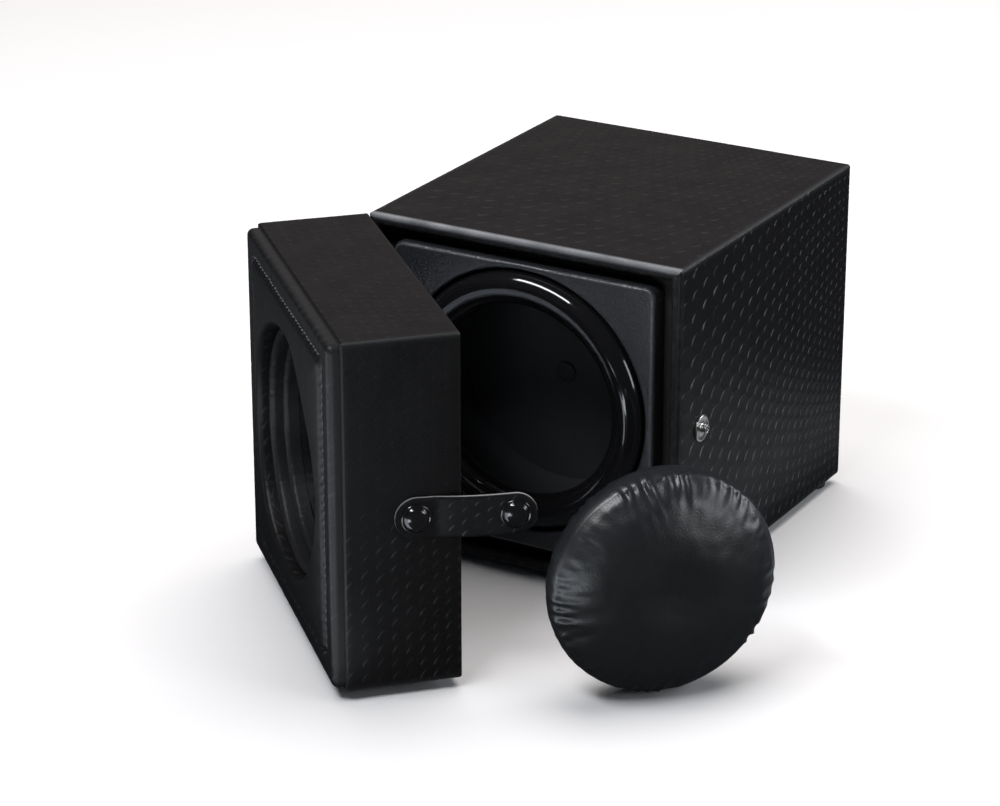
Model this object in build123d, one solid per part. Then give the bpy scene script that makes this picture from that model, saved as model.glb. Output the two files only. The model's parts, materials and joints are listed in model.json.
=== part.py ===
"""Single watch winder: a leather-covered box with a hinged front door, a driven cup and a loose cushion.

Millimetres. +X is to the right, +Y to the back, +Z up. The origin is the centre of the case's
footprint, on the plane that the four feet stand on. The door is drawn shut and then swung open.
"""

import os
from math import acos, cos, pi, radians, sin, tan

from build123d import *

# ---- case ----
CASE_W, CASE_D, CASE_H = 140.0, 153.0, 139.0
FOOT_H = 4.0
SKIN = 0.5  # leather thickness
BOARD = 3.5  # side boards of the case and the door
FOLD_DEPTH = 8.5  # how far the leather is folded in behind the front edge
EDGE_ROUND = 1.2
CASE_LOW, CASE_TOP = FOOT_H, FOOT_H + CASE_H
CASE_MID = FOOT_H + CASE_H / 2
FRONT, BACK = -CASE_D / 2, CASE_D / 2

# ---- feet ----
FOOT_X, FOOT_Y, FOOT_R = 62.0, 67.0, 5.5
FOOT_RECESS, FOOT_RECESS_R = 1.2, 3.0
FOOT_SCREW_R, FOOT_SCREW_HEAD_R = 1.2, 2.4

# ---- face panel and the boards behind it ----
FACE_W, FACE_H = 117.4, 119.8
FACE_ROUND = 4.5
FACE_HOLE_R = 55.0
BAFFLE_T = 4.0
BAFFLE_HOLE_R = 50.5
CARRIER_DEPTH, CARRIER_T = 52.5, 4.0
BACK_PANEL_T = 4.5

# ---- rotor ----
ROTOR_Z = CASE_LOW + 72.0
BEZEL_MID_R, BEZEL_TUBE_R = 47.0, 7.0
BEZEL_DEPTH = 3.0  # centre of the bezel's round section, behind the front plane
BEZEL_BACK = 6.0
CUP_R, CUP_WALL, CUP_FLOOR_DEPTH, CUP_FLOOR_T = 46.0, 2.0, 37.0, 2.5
CUP_FLANGE_R, CUP_FLANGE_T = 52.0, 1.5
HUB_R, HUB_T, BOSS_R, BOSS_END = 16.0, 3.0, 7.0, 50.1
SHAFT_R, SHAFT_END = 3.0, 64.0
SHAFT_HOLE_R = 4.5  # the motor shaft's hole in the carrier board
BUSH_R, BUSH_FLANGE_R, BUSH_END = 6.0, 8.0, 58.5
RUNNING_GAP = 0.05
CLIP_START, CLIP_T, CLIP_R, CLIP_GROOVE_R = 59.1, 1.0, 5.0, 2.4
PLUG_R, PLUG_T = 4.5, 0.8
HUB_SCREW_PCR, HUB_SCREW_R, HUB_SCREW_HEAD_R = 11.0, 1.25, 2.4

# ---- gears, module 1 ----
MODULE = 1.0
ROTOR_TEETH, PINION_TEETH = 48, 16
PRESSURE_ANGLE = radians(20)
TOOTH_PLAY = 0.22
ADDENDUM, DEDENDUM = 0.9, 1.2
GEAR_START, GEAR_T = 45.3, 4.0
PINION_START, PINION_T = 44.8, 5.0
MOTOR_Z = ROTOR_Z - MODULE * (ROTOR_TEETH + PINION_TEETH) / 2

# ---- gearmotor ----
GEARBOX_R, GEARBOX_T = 18.5, 18.0
CAN_R, CAN_LEN = 13.5, 30.0
MOTOR_SCREW_PCR, MOTOR_SCREW_R, MOTOR_SCREW_HEAD_R = 14.5, 1.5, 2.8

# ---- door ----
DOOR_GAP = 0.3
FRAME_DEPTH = 45.0
FRONT_BOARD_T = 4.5
DOOR_OPEN = 44.0  # degrees, as it stands
PAD_T, PAD_INSET, PAD_ROUND, PAD_CORNER_R = 5.0, 1.0, 2.4, 3.0
WINDOW_R = 49.0
OUTER_LIP_R, INNER_LIP_R = 46.5, 42.5
STEP_T = 4.0
PANE_R, PANE_T = 50.0, 1.5
KEEPER_R, KEEPER_HOLE_R, KEEPER_T = 56.0, 44.0, 2.5
KEEPER_SCREW_R, KEEPER_SCREW_HEAD_R = 0.9, 1.8
BEAD_W, BEAD_H = 4.0, 2.4

# ---- hinges ----
HINGE_X, HINGE_Y = -CASE_W / 2, FRONT
HINGE_LEN, KNUCKLE_LEN, KNUCKLE_GAP = 26.0, 8.0, 0.3
HINGE_STARTS = (CASE_LOW + 20.0, CASE_LOW + 93.0)
KNUCKLE_R, PIN_R, KNUCKLE_ROOM = 2.0, 1.0, 0.4
LEAF_W, LEAF_T, LEAF_PROUD = 14.0, 0.8, 0.1
LEAF_SCREW_R, LEAF_SCREW_HEAD_R = 0.8, 1.7

# ---- snap tab ----
TAB_Z = CASE_LOW + 68.2
TAB_W, TAB_T = 16.0, 1.8
ANCHOR_Y, STUD_Y = FRONT - 18.0, FRONT + 19.3
PIVOT_Y = FRONT - 10.0
TAB_END_R = TAB_W / 2
TAB_FLARE = 11.0  # degrees from the door's side, as it stands
TAB_CUT = 1.1
CAP_R, CAP_H = 5.5, 2.2
STUD_FLANGE_T, STUD_POST_R, STUD_H = 0.8, 2.0, 2.8
SOCKET_R, SOCKET_HOLE_R, SOCKET_T = 5.0, 2.4, 1.6
RIVET_R, RIVET_HEAD_R, RIVET_HEAD_T = 1.5, 4.5, 0.8

# ---- back of the case ----
CLEAT, PANEL_SCREW_INSET = 9.0, 12.0
REAR_SCREW_R, REAR_SCREW_HEAD_R = 1.2, 2.3
PLATE_W, PLATE_H, PLATE_T, PLATE_Z = 56.0, 22.0, 1.5, CASE_LOW + 26.0
PLATE_ROUND, PLATE_SCREW_INSET = 2.5, 4.0
INLET_X, SWITCH_X = -14.0, 12.0
INLET_R, INLET_BORE_R, INLET_PIN_R = 4.0, 2.8, 1.0
INLET_DEPTH, INLET_FLOOR = 9.0, 1.0
INLET_NUT_R, INLET_NUT_T = 6.0, 1.6
LEVER_W, LEVER_H, LEVER_DEPTH, LEVER_PROUD = 3.0, 2.6, 2.8, 2.2
LEVER_TRAVEL, LEVER_PLAY = 2.0, 0.3
SWITCH_W, SWITCH_H, SWITCH_DEPTH = 14.0, 8.0, 7.0
CIRCUIT_W, CIRCUIT_T, SPACER_R = 48.0, 1.6, 2.5

# ---- cushion ----
CUSHION_R, SEAM_R, SEAM_HALF, CROWN = 45.0, 43.5, 7.5, 17.5
COVER_T = 1.0
CUSHION_X, CUSHION_Y = 94.6, -137.1
CUSHION_TURN = 49.0  # degrees its face is turned to the right


def block(x0, x1, y0, y1, z0, z1):
    """A box between six planes."""
    middle = Pos((x0 + x1) / 2, (y0 + y1) / 2, (z0 + z1) / 2)
    return middle * Box(x1 - x0, y1 - y0, z1 - z0)


def facing(centre_z):
    """Places a shape drawn with x right, y up and z forward of the case's front plane."""
    return Pos(0, FRONT, centre_z) * Rot(90, 0, 0)


def inside():
    """Half width and the two heights of the space between the boards, the same in the case and the door."""
    edge = SKIN + BOARD
    return CASE_W / 2 - edge, CASE_LOW + edge, CASE_TOP - edge


def disc(radius, near, far):
    """A cylinder about local z between two depths behind the front plane."""
    return Pos(0, 0, -(near + far) / 2) * Cylinder(radius, far - near)


def ring(outer, inner, near, far):
    """A disc with a round hole."""
    return disc(outer, near, far) - disc(inner, near - 1, far + 1)


def around(radius, count, start=90.0):
    """Points evenly spaced round a circle."""
    angles = [radians(start + 360 * i / count) for i in range(count)]
    return [Pos(radius * cos(angle), radius * sin(angle), 0) for angle in angles]


def side_disc(y, z, radius, x0, x1):
    """A cylinder along X."""
    return Pos((x0 + x1) / 2, y, z) * Rot(0, 90, 0) * Cylinder(radius, x1 - x0)


def swing(shape):
    """Turns a piece of the shut door about the hinge line to where the door stands open."""
    return Pos(HINGE_X, HINGE_Y, 0) * Rot(0, 0, -DOOR_OPEN) * Pos(-HINGE_X, -HINGE_Y, 0) * shape


def flare(shape):
    """Turns a piece of the flat tab about its bend, away from the door's side."""
    bend_x = CASE_W / 2 + TAB_T / 2
    return Pos(bend_x, PIVOT_Y, 0) * Rot(0, 0, -TAB_FLARE) * Pos(-bend_x, -PIVOT_Y, 0) * shape


def save(node, *pieces):
    """Writes one node, with each piece as a solid of its own."""
    solids = [solid for piece in pieces for solid in piece.solids()]
    export_step(solids[0] if len(solids) == 1 else Compound(children=solids), f"parts/{node}.step")


def cut(shape, *tools):
    """Takes each tool out of a shape."""
    for tool in tools:
        shape = shape - tool
    return shape


# ---------------------------------------------------------------- hinges and small metal

def knuckles_of(start, middle):
    """The heights of one leaf's knuckles: the middle one, or the two outer ones."""
    if middle:
        return [(start + KNUCKLE_LEN + KNUCKLE_GAP, start + HINGE_LEN - KNUCKLE_LEN - KNUCKLE_GAP)]
    return [(start, start + KNUCKLE_LEN), (start + HINGE_LEN - KNUCKLE_LEN, start + HINGE_LEN)]


def upright(radius, z0, z1):
    """A cylinder round the hinge line."""
    return Pos(HINGE_X, HINGE_Y, (z0 + z1) / 2) * Cylinder(radius, z1 - z0)


def leaf_screw_points(start, side):
    """Where a leaf's two screws go: side is +1 on the case and -1 on the door."""
    y = HINGE_Y + side * LEAF_W * 0.62
    return [(y, start + HINGE_LEN * share) for share in (0.22, 0.78)]


def leaf_screw(y, z):
    outside = HINGE_X - LEAF_PROUD
    head = side_disc(y, z, LEAF_SCREW_HEAD_R, outside - 0.5, outside)
    return head + side_disc(y, z, LEAF_SCREW_R, outside, outside + 3.4)


def leaf_screws(side):
    return [leaf_screw(y, z) for start in HINGE_STARTS for y, z in leaf_screw_points(start, side)]


def leaf(start, side):
    """One hinge leaf let into the leather, with its knuckles. The door's leaf has the middle knuckle."""
    middle = side < 0
    y_ends = sorted((HINGE_Y, HINGE_Y + side * LEAF_W))
    outside = HINGE_X - LEAF_PROUD
    plate = block(outside, outside + LEAF_T, *y_ends, start, start + HINGE_LEN)
    for z0, z1 in knuckles_of(start, not middle):
        plate = plate - upright(KNUCKLE_R + KNUCKLE_ROOM, z0 - KNUCKLE_GAP, z1 + KNUCKLE_GAP)
    bore = PIN_R + (RUNNING_GAP if middle else 0)
    for z0, z1 in knuckles_of(start, middle):
        plate = plate + upright(KNUCKLE_R, z0, z1)
    plate = plate - upright(bore, start - 1, start + HINGE_LEN + 1)
    return cut(plate, *leaf_screws(side))


def hinge_room(side):
    """What the boards and the leather leave out for the hinges."""
    y_ends = sorted((HINGE_Y, HINGE_Y + side * LEAF_W))
    room = []
    for start in HINGE_STARTS:
        room.append(upright(KNUCKLE_R + KNUCKLE_ROOM, start - KNUCKLE_GAP, start + HINGE_LEN + KNUCKLE_GAP))
        room.append(block(HINGE_X - 1, HINGE_X - LEAF_PROUD + LEAF_T, *y_ends, start, start + HINGE_LEN))
    return room


def build_hinges():
    save("hinge_case_leaves", *[leaf(start, 1) for start in HINGE_STARTS])
    save("hinge_door_leaves", *[swing(leaf(start, -1)) for start in HINGE_STARTS])
    save("hinge_pins", *[upright(PIN_R, start, start + HINGE_LEN) for start in HINGE_STARTS])
    save("hinge_case_screws", *leaf_screws(1))
    save("hinge_door_screws", *[swing(screw) for screw in leaf_screws(-1)])


def stud_rivet():
    """The rivet that holds the snap stud, through the right-hand wall."""
    inside = CASE_W / 2 - SKIN - BOARD
    return (side_disc(STUD_Y, TAB_Z, RIVET_R, inside, CASE_W / 2)
            + side_disc(STUD_Y, TAB_Z, RIVET_HEAD_R, inside - RIVET_HEAD_T, inside))


def build_stud():
    side = CASE_W / 2
    stud = side_disc(STUD_Y, TAB_Z, CAP_R, side, side + STUD_FLANGE_T)
    stud = stud + side_disc(STUD_Y, TAB_Z, STUD_POST_R, side, side + STUD_H)
    stud = fillet(stud.edges().sort_by(Axis.X)[-1], 0.5)
    stud = stud - side_disc(STUD_Y, TAB_Z, STUD_POST_R - 1.1, side + 1.0, side + STUD_H + 1)
    save("snap_stud", stud, stud_rivet())


# ---------------------------------------------------------------- feet

def foot_places():
    return [Pos(x, y, 0) for x in (-FOOT_X, FOOT_X) for y in (-FOOT_Y, FOOT_Y)]


def foot_screw():
    """A screw up through a foot into the bottom board, its head inside the foot's recess."""
    head = Pos(0, 0, FOOT_RECESS + 0.4) * Cylinder(FOOT_SCREW_HEAD_R, 0.8)
    return head + Pos(0, 0, FOOT_RECESS + 3.3) * Cylinder(FOOT_SCREW_R, 5.0)


def build_feet():
    foot = Pos(0, 0, FOOT_H / 2) * Cylinder(FOOT_R, FOOT_H)
    foot = fillet(foot.edges().sort_by(Axis.Z)[0], 0.8)
    recess = Pos(0, 0, FOOT_RECESS / 2) * Cylinder(FOOT_RECESS_R, FOOT_RECESS)
    foot = cut(foot, recess, foot_screw())
    save("feet", *[place * foot for place in foot_places()])
    save("foot_screws", *[place * foot_screw() for place in foot_places()])


# ---------------------------------------------------------------- case

def build_case_boards():
    half = CASE_W / 2 - SKIN
    inner, low, high = inside()
    y0, y1 = FRONT + SKIN, BACK - SKIN
    screws = [place * foot_screw() for place in foot_places()]
    save("case_top_board", block(-half, half, y0, y1, high, CASE_TOP - SKIN))
    save("case_bottom_board", cut(block(-half, half, y0, y1, CASE_LOW + SKIN, low), *screws))
    left = block(-half, -inner, y0, y1, low, high)
    save("case_left_board", cut(left, *hinge_room(1), *leaf_screws(1)))
    save("case_right_board", block(inner, half, y0, y1, low, high) - stud_rivet())


def build_case_leather():
    """The outer leather, glued over the boards and folded round their front and back edges."""
    inner, low, high = inside()
    shell = block(-CASE_W / 2, CASE_W / 2, FRONT, BACK, CASE_LOW, CASE_TOP)
    shell = fillet(shell.edges().filter_by(Axis.Y), EDGE_ROUND)
    half = CASE_W / 2 - SKIN
    shell = shell - block(-half, half, FRONT + SKIN, BACK - SKIN, CASE_LOW + SKIN, CASE_TOP - SKIN)
    shell = shell - block(-inner, inner, BACK - 1, BACK + 1, low, high)
    fold = block(-inner, inner, FRONT, FRONT + FOLD_DEPTH, low, high)
    mouth = block(-inner + SKIN, inner - SKIN, FRONT - 1, BACK, low + SKIN, high - SKIN)
    shell = shell + fold - mouth
    screws = [place * foot_screw() for place in foot_places()]
    save("case_leather", cut(shell, *hinge_room(1), *leaf_screws(1), *screws, stud_rivet()))


def motor_screw():
    near = CARRIER_DEPTH
    return disc(MOTOR_SCREW_HEAD_R, near - 2.0, near) + disc(MOTOR_SCREW_R, near, near + CARRIER_T + 5.0)


def build_inner_boards():
    inner, low, high = inside()
    baffle = block(-inner, inner, FRONT + FOLD_DEPTH, FRONT + FOLD_DEPTH + BAFFLE_T, low, high)
    save("baffle_board", baffle - facing(ROTOR_Z) * disc(BAFFLE_HOLE_R, 0, 20))
    carrier = block(-inner, inner, FRONT + CARRIER_DEPTH, FRONT + CARRIER_DEPTH + CARRIER_T, low, high)
    carrier = carrier - facing(ROTOR_Z) * disc(BUSH_R, 40, 60)
    carrier = carrier - facing(MOTOR_Z) * disc(SHAFT_HOLE_R, 40, 60)
    screws = [facing(MOTOR_Z) * place * motor_screw() for place in around(MOTOR_SCREW_PCR, 3, -90)]
    save("carrier_board", cut(carrier, *screws))


def face_block(inset, near, far):
    """The raised face panel's block, with rounded corners."""
    box = Pos(0, 0, -(near + far) / 2) * Box(FACE_W - 2 * inset, FACE_H - 2 * inset, far - near)
    return fillet(box.edges().filter_by(Axis.Z), FACE_ROUND - inset)


def build_face():
    hole_up = ROTOR_Z - CASE_MID
    board = face_block(SKIN, SKIN, FOLD_DEPTH)
    cover = face_block(0, 0, FOLD_DEPTH)
    cover = fillet(cover.faces().sort_by(Axis.Z)[-1].edges(), 0.9)
    hole = Pos(0, hole_up, 0) * disc(FACE_HOLE_R + SKIN, -1, 20)
    board = board - hole
    cover = cover - board - Pos(0, hole_up, 0) * disc(FACE_HOLE_R, -1, 20)
    save("face_board", facing(CASE_MID) * board)
    save("face_leather", facing(CASE_MID) * cover)


# ---------------------------------------------------------------- rotor

def revolved(points):
    """A closed outline of (radius, depth) points turned about local z."""
    outline = Polyline([(r, 0, -d) for r, d in points], close=True)
    return revolve(make_face(outline), Axis.Z)


def involute(angle):
    return tan(angle) - angle


def gear(teeth, width, bore, first_tooth):
    """A spur gear, its first tooth centred at an angle in degrees."""
    pitch_r = MODULE * teeth / 2
    base_r = pitch_r * cos(PRESSURE_ANGLE)
    root_r, tip_r = pitch_r - DEDENDUM * MODULE, pitch_r + ADDENDUM * MODULE
    half_at_pitch = pi / (2 * teeth) - TOOTH_PLAY / (2 * pitch_r)

    def half_angle(radius):
        grip = involute(acos(min(1.0, base_r / max(radius, base_r))))
        return half_at_pitch + involute(PRESSURE_ANGLE) - grip

    steps = 5
    radii = [root_r + (tip_r - root_r) * i / steps for i in range(steps + 1)]
    points = []
    for tooth in range(teeth):
        middle = radians(first_tooth) + 2 * pi * tooth / teeth
        for side, order in ((-1, radii), (1, radii[::-1])):
            for radius in order:
                angle = middle + side * half_angle(radius)
                points.append((radius * cos(angle), radius * sin(angle)))
    blank = extrude(make_face(Polyline(points, close=True)), amount=width)
    return blank - Cylinder(bore, 3 * width)


def hub_screw():
    hub_back = CUP_FLOOR_DEPTH + CUP_FLOOR_T + HUB_T
    shank = disc(HUB_SCREW_R, hub_back - HUB_T - 1.6, hub_back)
    return shank + disc(HUB_SCREW_HEAD_R, hub_back, hub_back + 1.5)


def build_rotor():
    place = facing(ROTOR_Z)
    floor_back = CUP_FLOOR_DEPTH + CUP_FLOOR_T
    bezel = Pos(0, 0, -BEZEL_DEPTH) * Torus(BEZEL_MID_R, BEZEL_TUBE_R)
    save("rotor_bezel", place * (bezel - disc(60, BEZEL_BACK, 20)))
    cup_outer = CUP_R + CUP_WALL
    cup = revolved([(0, CUP_FLOOR_DEPTH), (CUP_R, CUP_FLOOR_DEPTH), (CUP_R, BEZEL_BACK),
                    (CUP_FLANGE_R, BEZEL_BACK), (CUP_FLANGE_R, BEZEL_BACK + CUP_FLANGE_T),
                    (cup_outer, BEZEL_BACK + CUP_FLANGE_T), (cup_outer, floor_back), (0, floor_back)])
    screws = [spot * hub_screw() for spot in around(HUB_SCREW_PCR, 3)]
    save("rotor_cup", place * cut(cup, *screws))
    hub = disc(HUB_R, floor_back, floor_back + HUB_T) + disc(BOSS_R, floor_back, BOSS_END)
    hub = cut(hub, disc(SHAFT_R, 0, 80), *screws)
    save("rotor_hub", place * hub)
    save("hub_screws", *[place * screw for screw in screws])
    save("hub_cap", place * disc(PLUG_R, CUP_FLOOR_DEPTH - PLUG_T, CUP_FLOOR_DEPTH))
    shaft = disc(SHAFT_R, floor_back, SHAFT_END)
    groove = ring(SHAFT_R + 1, CLIP_GROOVE_R, CLIP_START, CLIP_START + CLIP_T)
    save("rotor_shaft", place * (shaft - groove))
    save("shaft_clip", place * ring(CLIP_R, CLIP_GROOVE_R, CLIP_START, CLIP_START + CLIP_T))
    wheel = Pos(0, 0, -GEAR_START - GEAR_T) * gear(ROTOR_TEETH, GEAR_T, BOSS_R, -90)
    save("rotor_gear", place * wheel)
    bush = disc(BUSH_R, BOSS_END + 0.4, BUSH_END) + disc(BUSH_FLANGE_R, BOSS_END + 0.4, CARRIER_DEPTH)
    save("shaft_bush", place * (bush - disc(SHAFT_R + RUNNING_GAP, 0, 80)))


def build_motor():
    place = facing(MOTOR_Z)
    start = CARRIER_DEPTH + CARRIER_T
    screws = [spot * motor_screw() for spot in around(MOTOR_SCREW_PCR, 3, -90)]
    box = disc(GEARBOX_R, start, start + GEARBOX_T)
    bore = disc(SHAFT_R + RUNNING_GAP, start - 1, start + 12.0)
    save("gearmotor_gearbox", place * cut(box, bore, *screws))
    can = disc(CAN_R, start + GEARBOX_T, start + GEARBOX_T + CAN_LEN)
    can = fillet(can.edges().sort_by(Axis.Z)[0], 1.5)
    terminals = [Pos(x, 0, 0) * disc(0.8, start + GEARBOX_T + CAN_LEN, start + GEARBOX_T + CAN_LEN + 3)
                 for x in (-7.0, 7.0)]
    save("gearmotor_can", place * can, *[place * terminal for terminal in terminals])
    save("gearmotor_screws", *[place * screw for screw in screws])
    save("motor_shaft", place * disc(SHAFT_R, PINION_START, start + 11.8))
    half_pitch = 180 / PINION_TEETH
    pinion = Pos(0, 0, -PINION_START - PINION_T) * gear(PINION_TEETH, PINION_T, SHAFT_R, 90 + half_pitch)
    save("drive_pinion", place * pinion)


# ---------------------------------------------------------------- back of the case

def rear_screw():
    """A screw into the back, its head proud of the plane that it is placed on."""
    head = Pos(0, 0, -0.5) * Cylinder(REAR_SCREW_HEAD_R, 1.0)
    return Rot(90, 0, 0) * (head + Pos(0, 0, 4.5) * Cylinder(REAR_SCREW_R, 9.0))


def plate_screws():
    half = PLATE_W / 2 - PLATE_SCREW_INSET
    return [Pos(x, BACK + PLATE_T, PLATE_Z) * rear_screw() for x in (-half, half)]


def panel_screws():
    half, rise = CASE_W / 2 - PANEL_SCREW_INSET, CASE_H / 2 - PANEL_SCREW_INSET
    return [Pos(x, BACK, CASE_MID + z) * rear_screw() for x in (-half, half) for z in (-rise, rise)]


def build_back():
    inner, low, high = inside()
    screws = panel_screws()
    well_half, well_rise = PLATE_W / 2 - 2 * PLATE_SCREW_INSET, PLATE_H / 2 - PLATE_SCREW_INSET
    well = block(-well_half, well_half, BACK - 10, BACK + 1, PLATE_Z - well_rise, PLATE_Z + well_rise)
    panel = block(-inner, inner, BACK - BACK_PANEL_T, BACK, low, high)
    save("back_panel", cut(panel, well, *screws, *plate_screws()))
    save("rear_screws", *screws, *plate_screws())
    cleat_back = BACK - BACK_PANEL_T
    for_cleats = block(-inner, inner, cleat_back - CLEAT, cleat_back, low, high)
    between = block(-inner + CLEAT, inner - CLEAT, cleat_back - CLEAT, cleat_back, low, high)
    save("back_cleats", cut(for_cleats, between, *screws))


def inlet_at(depth):
    """Places a shape on the inlet's axis, at a depth in front of the plate's outer face."""
    return Pos(INLET_X, BACK + PLATE_T - depth, PLATE_Z) * Rot(90, 0, 0)


def build_inlet():
    """A barrel socket for a plug of 5.5 by 2.1 mm, with its nut on the plate."""
    bore = inlet_at(0) * Cylinder(INLET_BORE_R, 40)
    bottom = inlet_at(INLET_DEPTH - INLET_FLOOR / 2) * Cylinder(INLET_R, INLET_FLOOR)
    wall = inlet_at((INLET_DEPTH - INLET_FLOOR) / 2) * Cylinder(INLET_R, INLET_DEPTH - INLET_FLOOR)
    nut = inlet_at(-INLET_NUT_T / 2) * Cylinder(INLET_NUT_R, INLET_NUT_T)
    pin = inlet_at(INLET_DEPTH / 2) * Cylinder(INLET_PIN_R, INLET_DEPTH)
    save("power_inlet", (wall + nut - bore) + bottom + pin)


def slider_slot(y0, y1):
    """The slot that the switch's lever slides in."""
    half, rise = LEVER_W / 2 + LEVER_TRAVEL + LEVER_PLAY, LEVER_H / 2 + LEVER_PLAY
    return block(SWITCH_X - half, SWITCH_X + half, y0, y1, PLATE_Z - rise, PLATE_Z + rise)


def build_switch():
    def middle_block(width, height, y0, y1):
        return Pos(SWITCH_X, (y0 + y1) / 2, PLATE_Z) * Box(width, y1 - y0, height)

    body = middle_block(SWITCH_W, SWITCH_H, BACK - SWITCH_DEPTH, BACK)
    save("mode_switch_body", body - slider_slot(BACK - LEVER_DEPTH - 0.2, BACK + 1))
    lever = middle_block(LEVER_W, LEVER_H, BACK - LEVER_DEPTH, BACK + PLATE_T + LEVER_PROUD)
    save("mode_switch_lever", fillet(lever.faces().sort_by(Axis.Y)[-1].edges(), 0.4))


def build_plate():
    half, rise = PLATE_W / 2, PLATE_H / 2
    plate = block(-half, half, BACK, BACK + PLATE_T, PLATE_Z - rise, PLATE_Z + rise)
    plate = fillet(plate.edges().filter_by(Axis.Y), PLATE_ROUND)
    inlet_hole = inlet_at(0) * Cylinder(INLET_R, 30)
    save("control_plate", cut(plate, inlet_hole, slider_slot(BACK - 1, BACK + 5), *plate_screws()))


def build_control_board():
    """The circuit board behind the back panel, on four spacers, with its chip and its capacitor."""
    board_back = BACK + PLATE_T - INLET_DEPTH - 2.0
    board_front = board_back - CIRCUIT_T
    low, high = PLATE_Z - 15.0, PLATE_Z + 20.0
    board = block(-CIRCUIT_W / 2, CIRCUIT_W / 2, board_front, board_back, low, high)
    spacer_len = BACK - BACK_PANEL_T - board_back
    spacers = [Pos(x, board_back + spacer_len / 2, z) * Rot(90, 0, 0) * Cylinder(SPACER_R, spacer_len)
               for x in (-20, 20) for z in (low + 3.5, high - 4.0)]
    chip = block(-8, 4, board_front - 2.5, board_front, PLATE_Z - 3, PLATE_Z + 5)
    capacitor = Pos(14, board_front - 5, PLATE_Z + 8) * Rot(90, 0, 0) * Cylinder(4, 10)
    save("control_board", board, *spacers, chip, capacitor)


# ---------------------------------------------------------------- door, drawn shut

def anchor_rivet():
    inside = CASE_W / 2 - SKIN - BOARD
    return (side_disc(ANCHOR_Y, TAB_Z, RIVET_R, inside, CASE_W / 2 + TAB_T)
            + side_disc(ANCHOR_Y, TAB_Z, RIVET_HEAD_R, inside - RIVET_HEAD_T, inside))


def build_door_frame():
    half = CASE_W / 2 - SKIN
    inner, low, high = inside()
    back = FRONT - DOOR_GAP - SKIN
    front = FRONT - FRAME_DEPTH + FRONT_BOARD_T
    save("door_top_board", swing(block(-half, half, front, back, high, CASE_TOP - SKIN)))
    save("door_bottom_board", swing(block(-half, half, front, back, CASE_LOW + SKIN, low)))
    left = block(-half, -inner, front, back, low, high)
    save("door_left_board", swing(cut(left, *hinge_room(-1), *leaf_screws(-1))))
    save("door_right_board", swing(block(inner, half, front, back, low, high) - anchor_rivet()))
    panel = block(-half, half, FRONT - FRAME_DEPTH, front, CASE_LOW + SKIN, CASE_TOP - SKIN)
    save("door_front_board", swing(panel - facing(CASE_MID) * disc(OUTER_LIP_R, -60, 0)))


def build_door_leather():
    """The door's outer leather, folded round the back edge of its frame."""
    inner, low, high = inside()
    back = FRONT - DOOR_GAP
    shell = block(-CASE_W / 2, CASE_W / 2, FRONT - FRAME_DEPTH, back, CASE_LOW, CASE_TOP)
    shell = fillet(shell.edges().filter_by(Axis.Y), EDGE_ROUND)
    half = CASE_W / 2 - SKIN
    shell = shell - block(-half, half, FRONT - FRAME_DEPTH - 1, back - SKIN, CASE_LOW + SKIN, CASE_TOP - SKIN)
    shell = shell - block(-inner, inner, back - 1, back + 1, low, high)
    save("door_leather", swing(cut(shell, *hinge_room(-1), *leaf_screws(-1), anchor_rivet())))


def build_door_lining():
    """The thin lining inside the door, left out round the pane's keeper."""
    inner, low, high = inside()
    back = FRONT - DOOR_GAP
    floor = FRONT - FRAME_DEPTH + FRONT_BOARD_T
    lining = block(-inner, inner, floor, back, low, high)
    lining = lining - block(-inner + SKIN, inner - SKIN, floor + SKIN, back + 1, low + SKIN, high - SKIN)
    lining = lining - facing(CASE_MID) * disc(KEEPER_R + 0.5, -60, 0)
    rivet_room = side_disc(ANCHOR_Y, TAB_Z, RIVET_HEAD_R + 0.3, inner - 2, inner + 1)
    save("door_lining", swing(lining - rivet_room))


def build_padded_panel():
    """The padded front of the door, with the round window through it."""
    width, height = CASE_W - 2 * PAD_INSET, CASE_H - 2 * PAD_INSET
    pad = Pos(0, 0, FRAME_DEPTH + PAD_T / 2) * Box(width, height, PAD_T)
    pad = fillet(pad.edges().filter_by(Axis.Z), PAD_CORNER_R)
    pad = pad - disc(WINDOW_R, -80, 0)
    pad = fillet(pad.faces().sort_by(Axis.Z)[-1].edges(), PAD_ROUND)
    save("door_padded_panel", swing(facing(CASE_MID) * pad))


def window_bead(lip_r, height):
    """A rolled leather lip: the front half of an elliptical ring."""
    outline = Pos(lip_r + 0.3, 0, height) * Rot(90, 0, 0) * Ellipse(BEAD_W / 2, BEAD_H)
    in_front = Pos(0, 0, height + 10) * Box(200, 200, 20)
    return swing(facing(CASE_MID) * (revolve(outline, Axis.Z) & in_front))


def build_window():
    """The window's two rolled lips, its step ring and pane, and the keeper that holds the pane."""
    place = facing(CASE_MID)
    step_near = FRONT_BOARD_T - FRAME_DEPTH
    pane_near = step_near + STEP_T
    pane_far = pane_near + PANE_T
    keeper_far = pane_far + KEEPER_T
    beads = [window_bead(OUTER_LIP_R, FRAME_DEPTH), window_bead(INNER_LIP_R, -step_near)]
    save("window_beads", *beads)
    screw = disc(KEEPER_SCREW_R, pane_near - 2.6, keeper_far)
    screw = screw + disc(KEEPER_SCREW_HEAD_R, keeper_far, keeper_far + 1.2)
    screws = [spot * screw for spot in around(KEEPER_R - 3.0, 4, 45)]
    step = ring(KEEPER_R, INNER_LIP_R, step_near, pane_near)
    save("window_step_ring", swing(place * cut(step, *screws)))
    save("window_pane", swing(place * disc(PANE_R, pane_near, pane_far)))
    rim = ring(KEEPER_R, PANE_R + 0.1, pane_near, pane_far)
    face = ring(KEEPER_R, KEEPER_HOLE_R, pane_far, keeper_far)
    save("pane_keeper", swing(place * cut(rim + face, *screws)))
    save("keeper_screws", *[swing(place * screw) for screw in screws])


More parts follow.
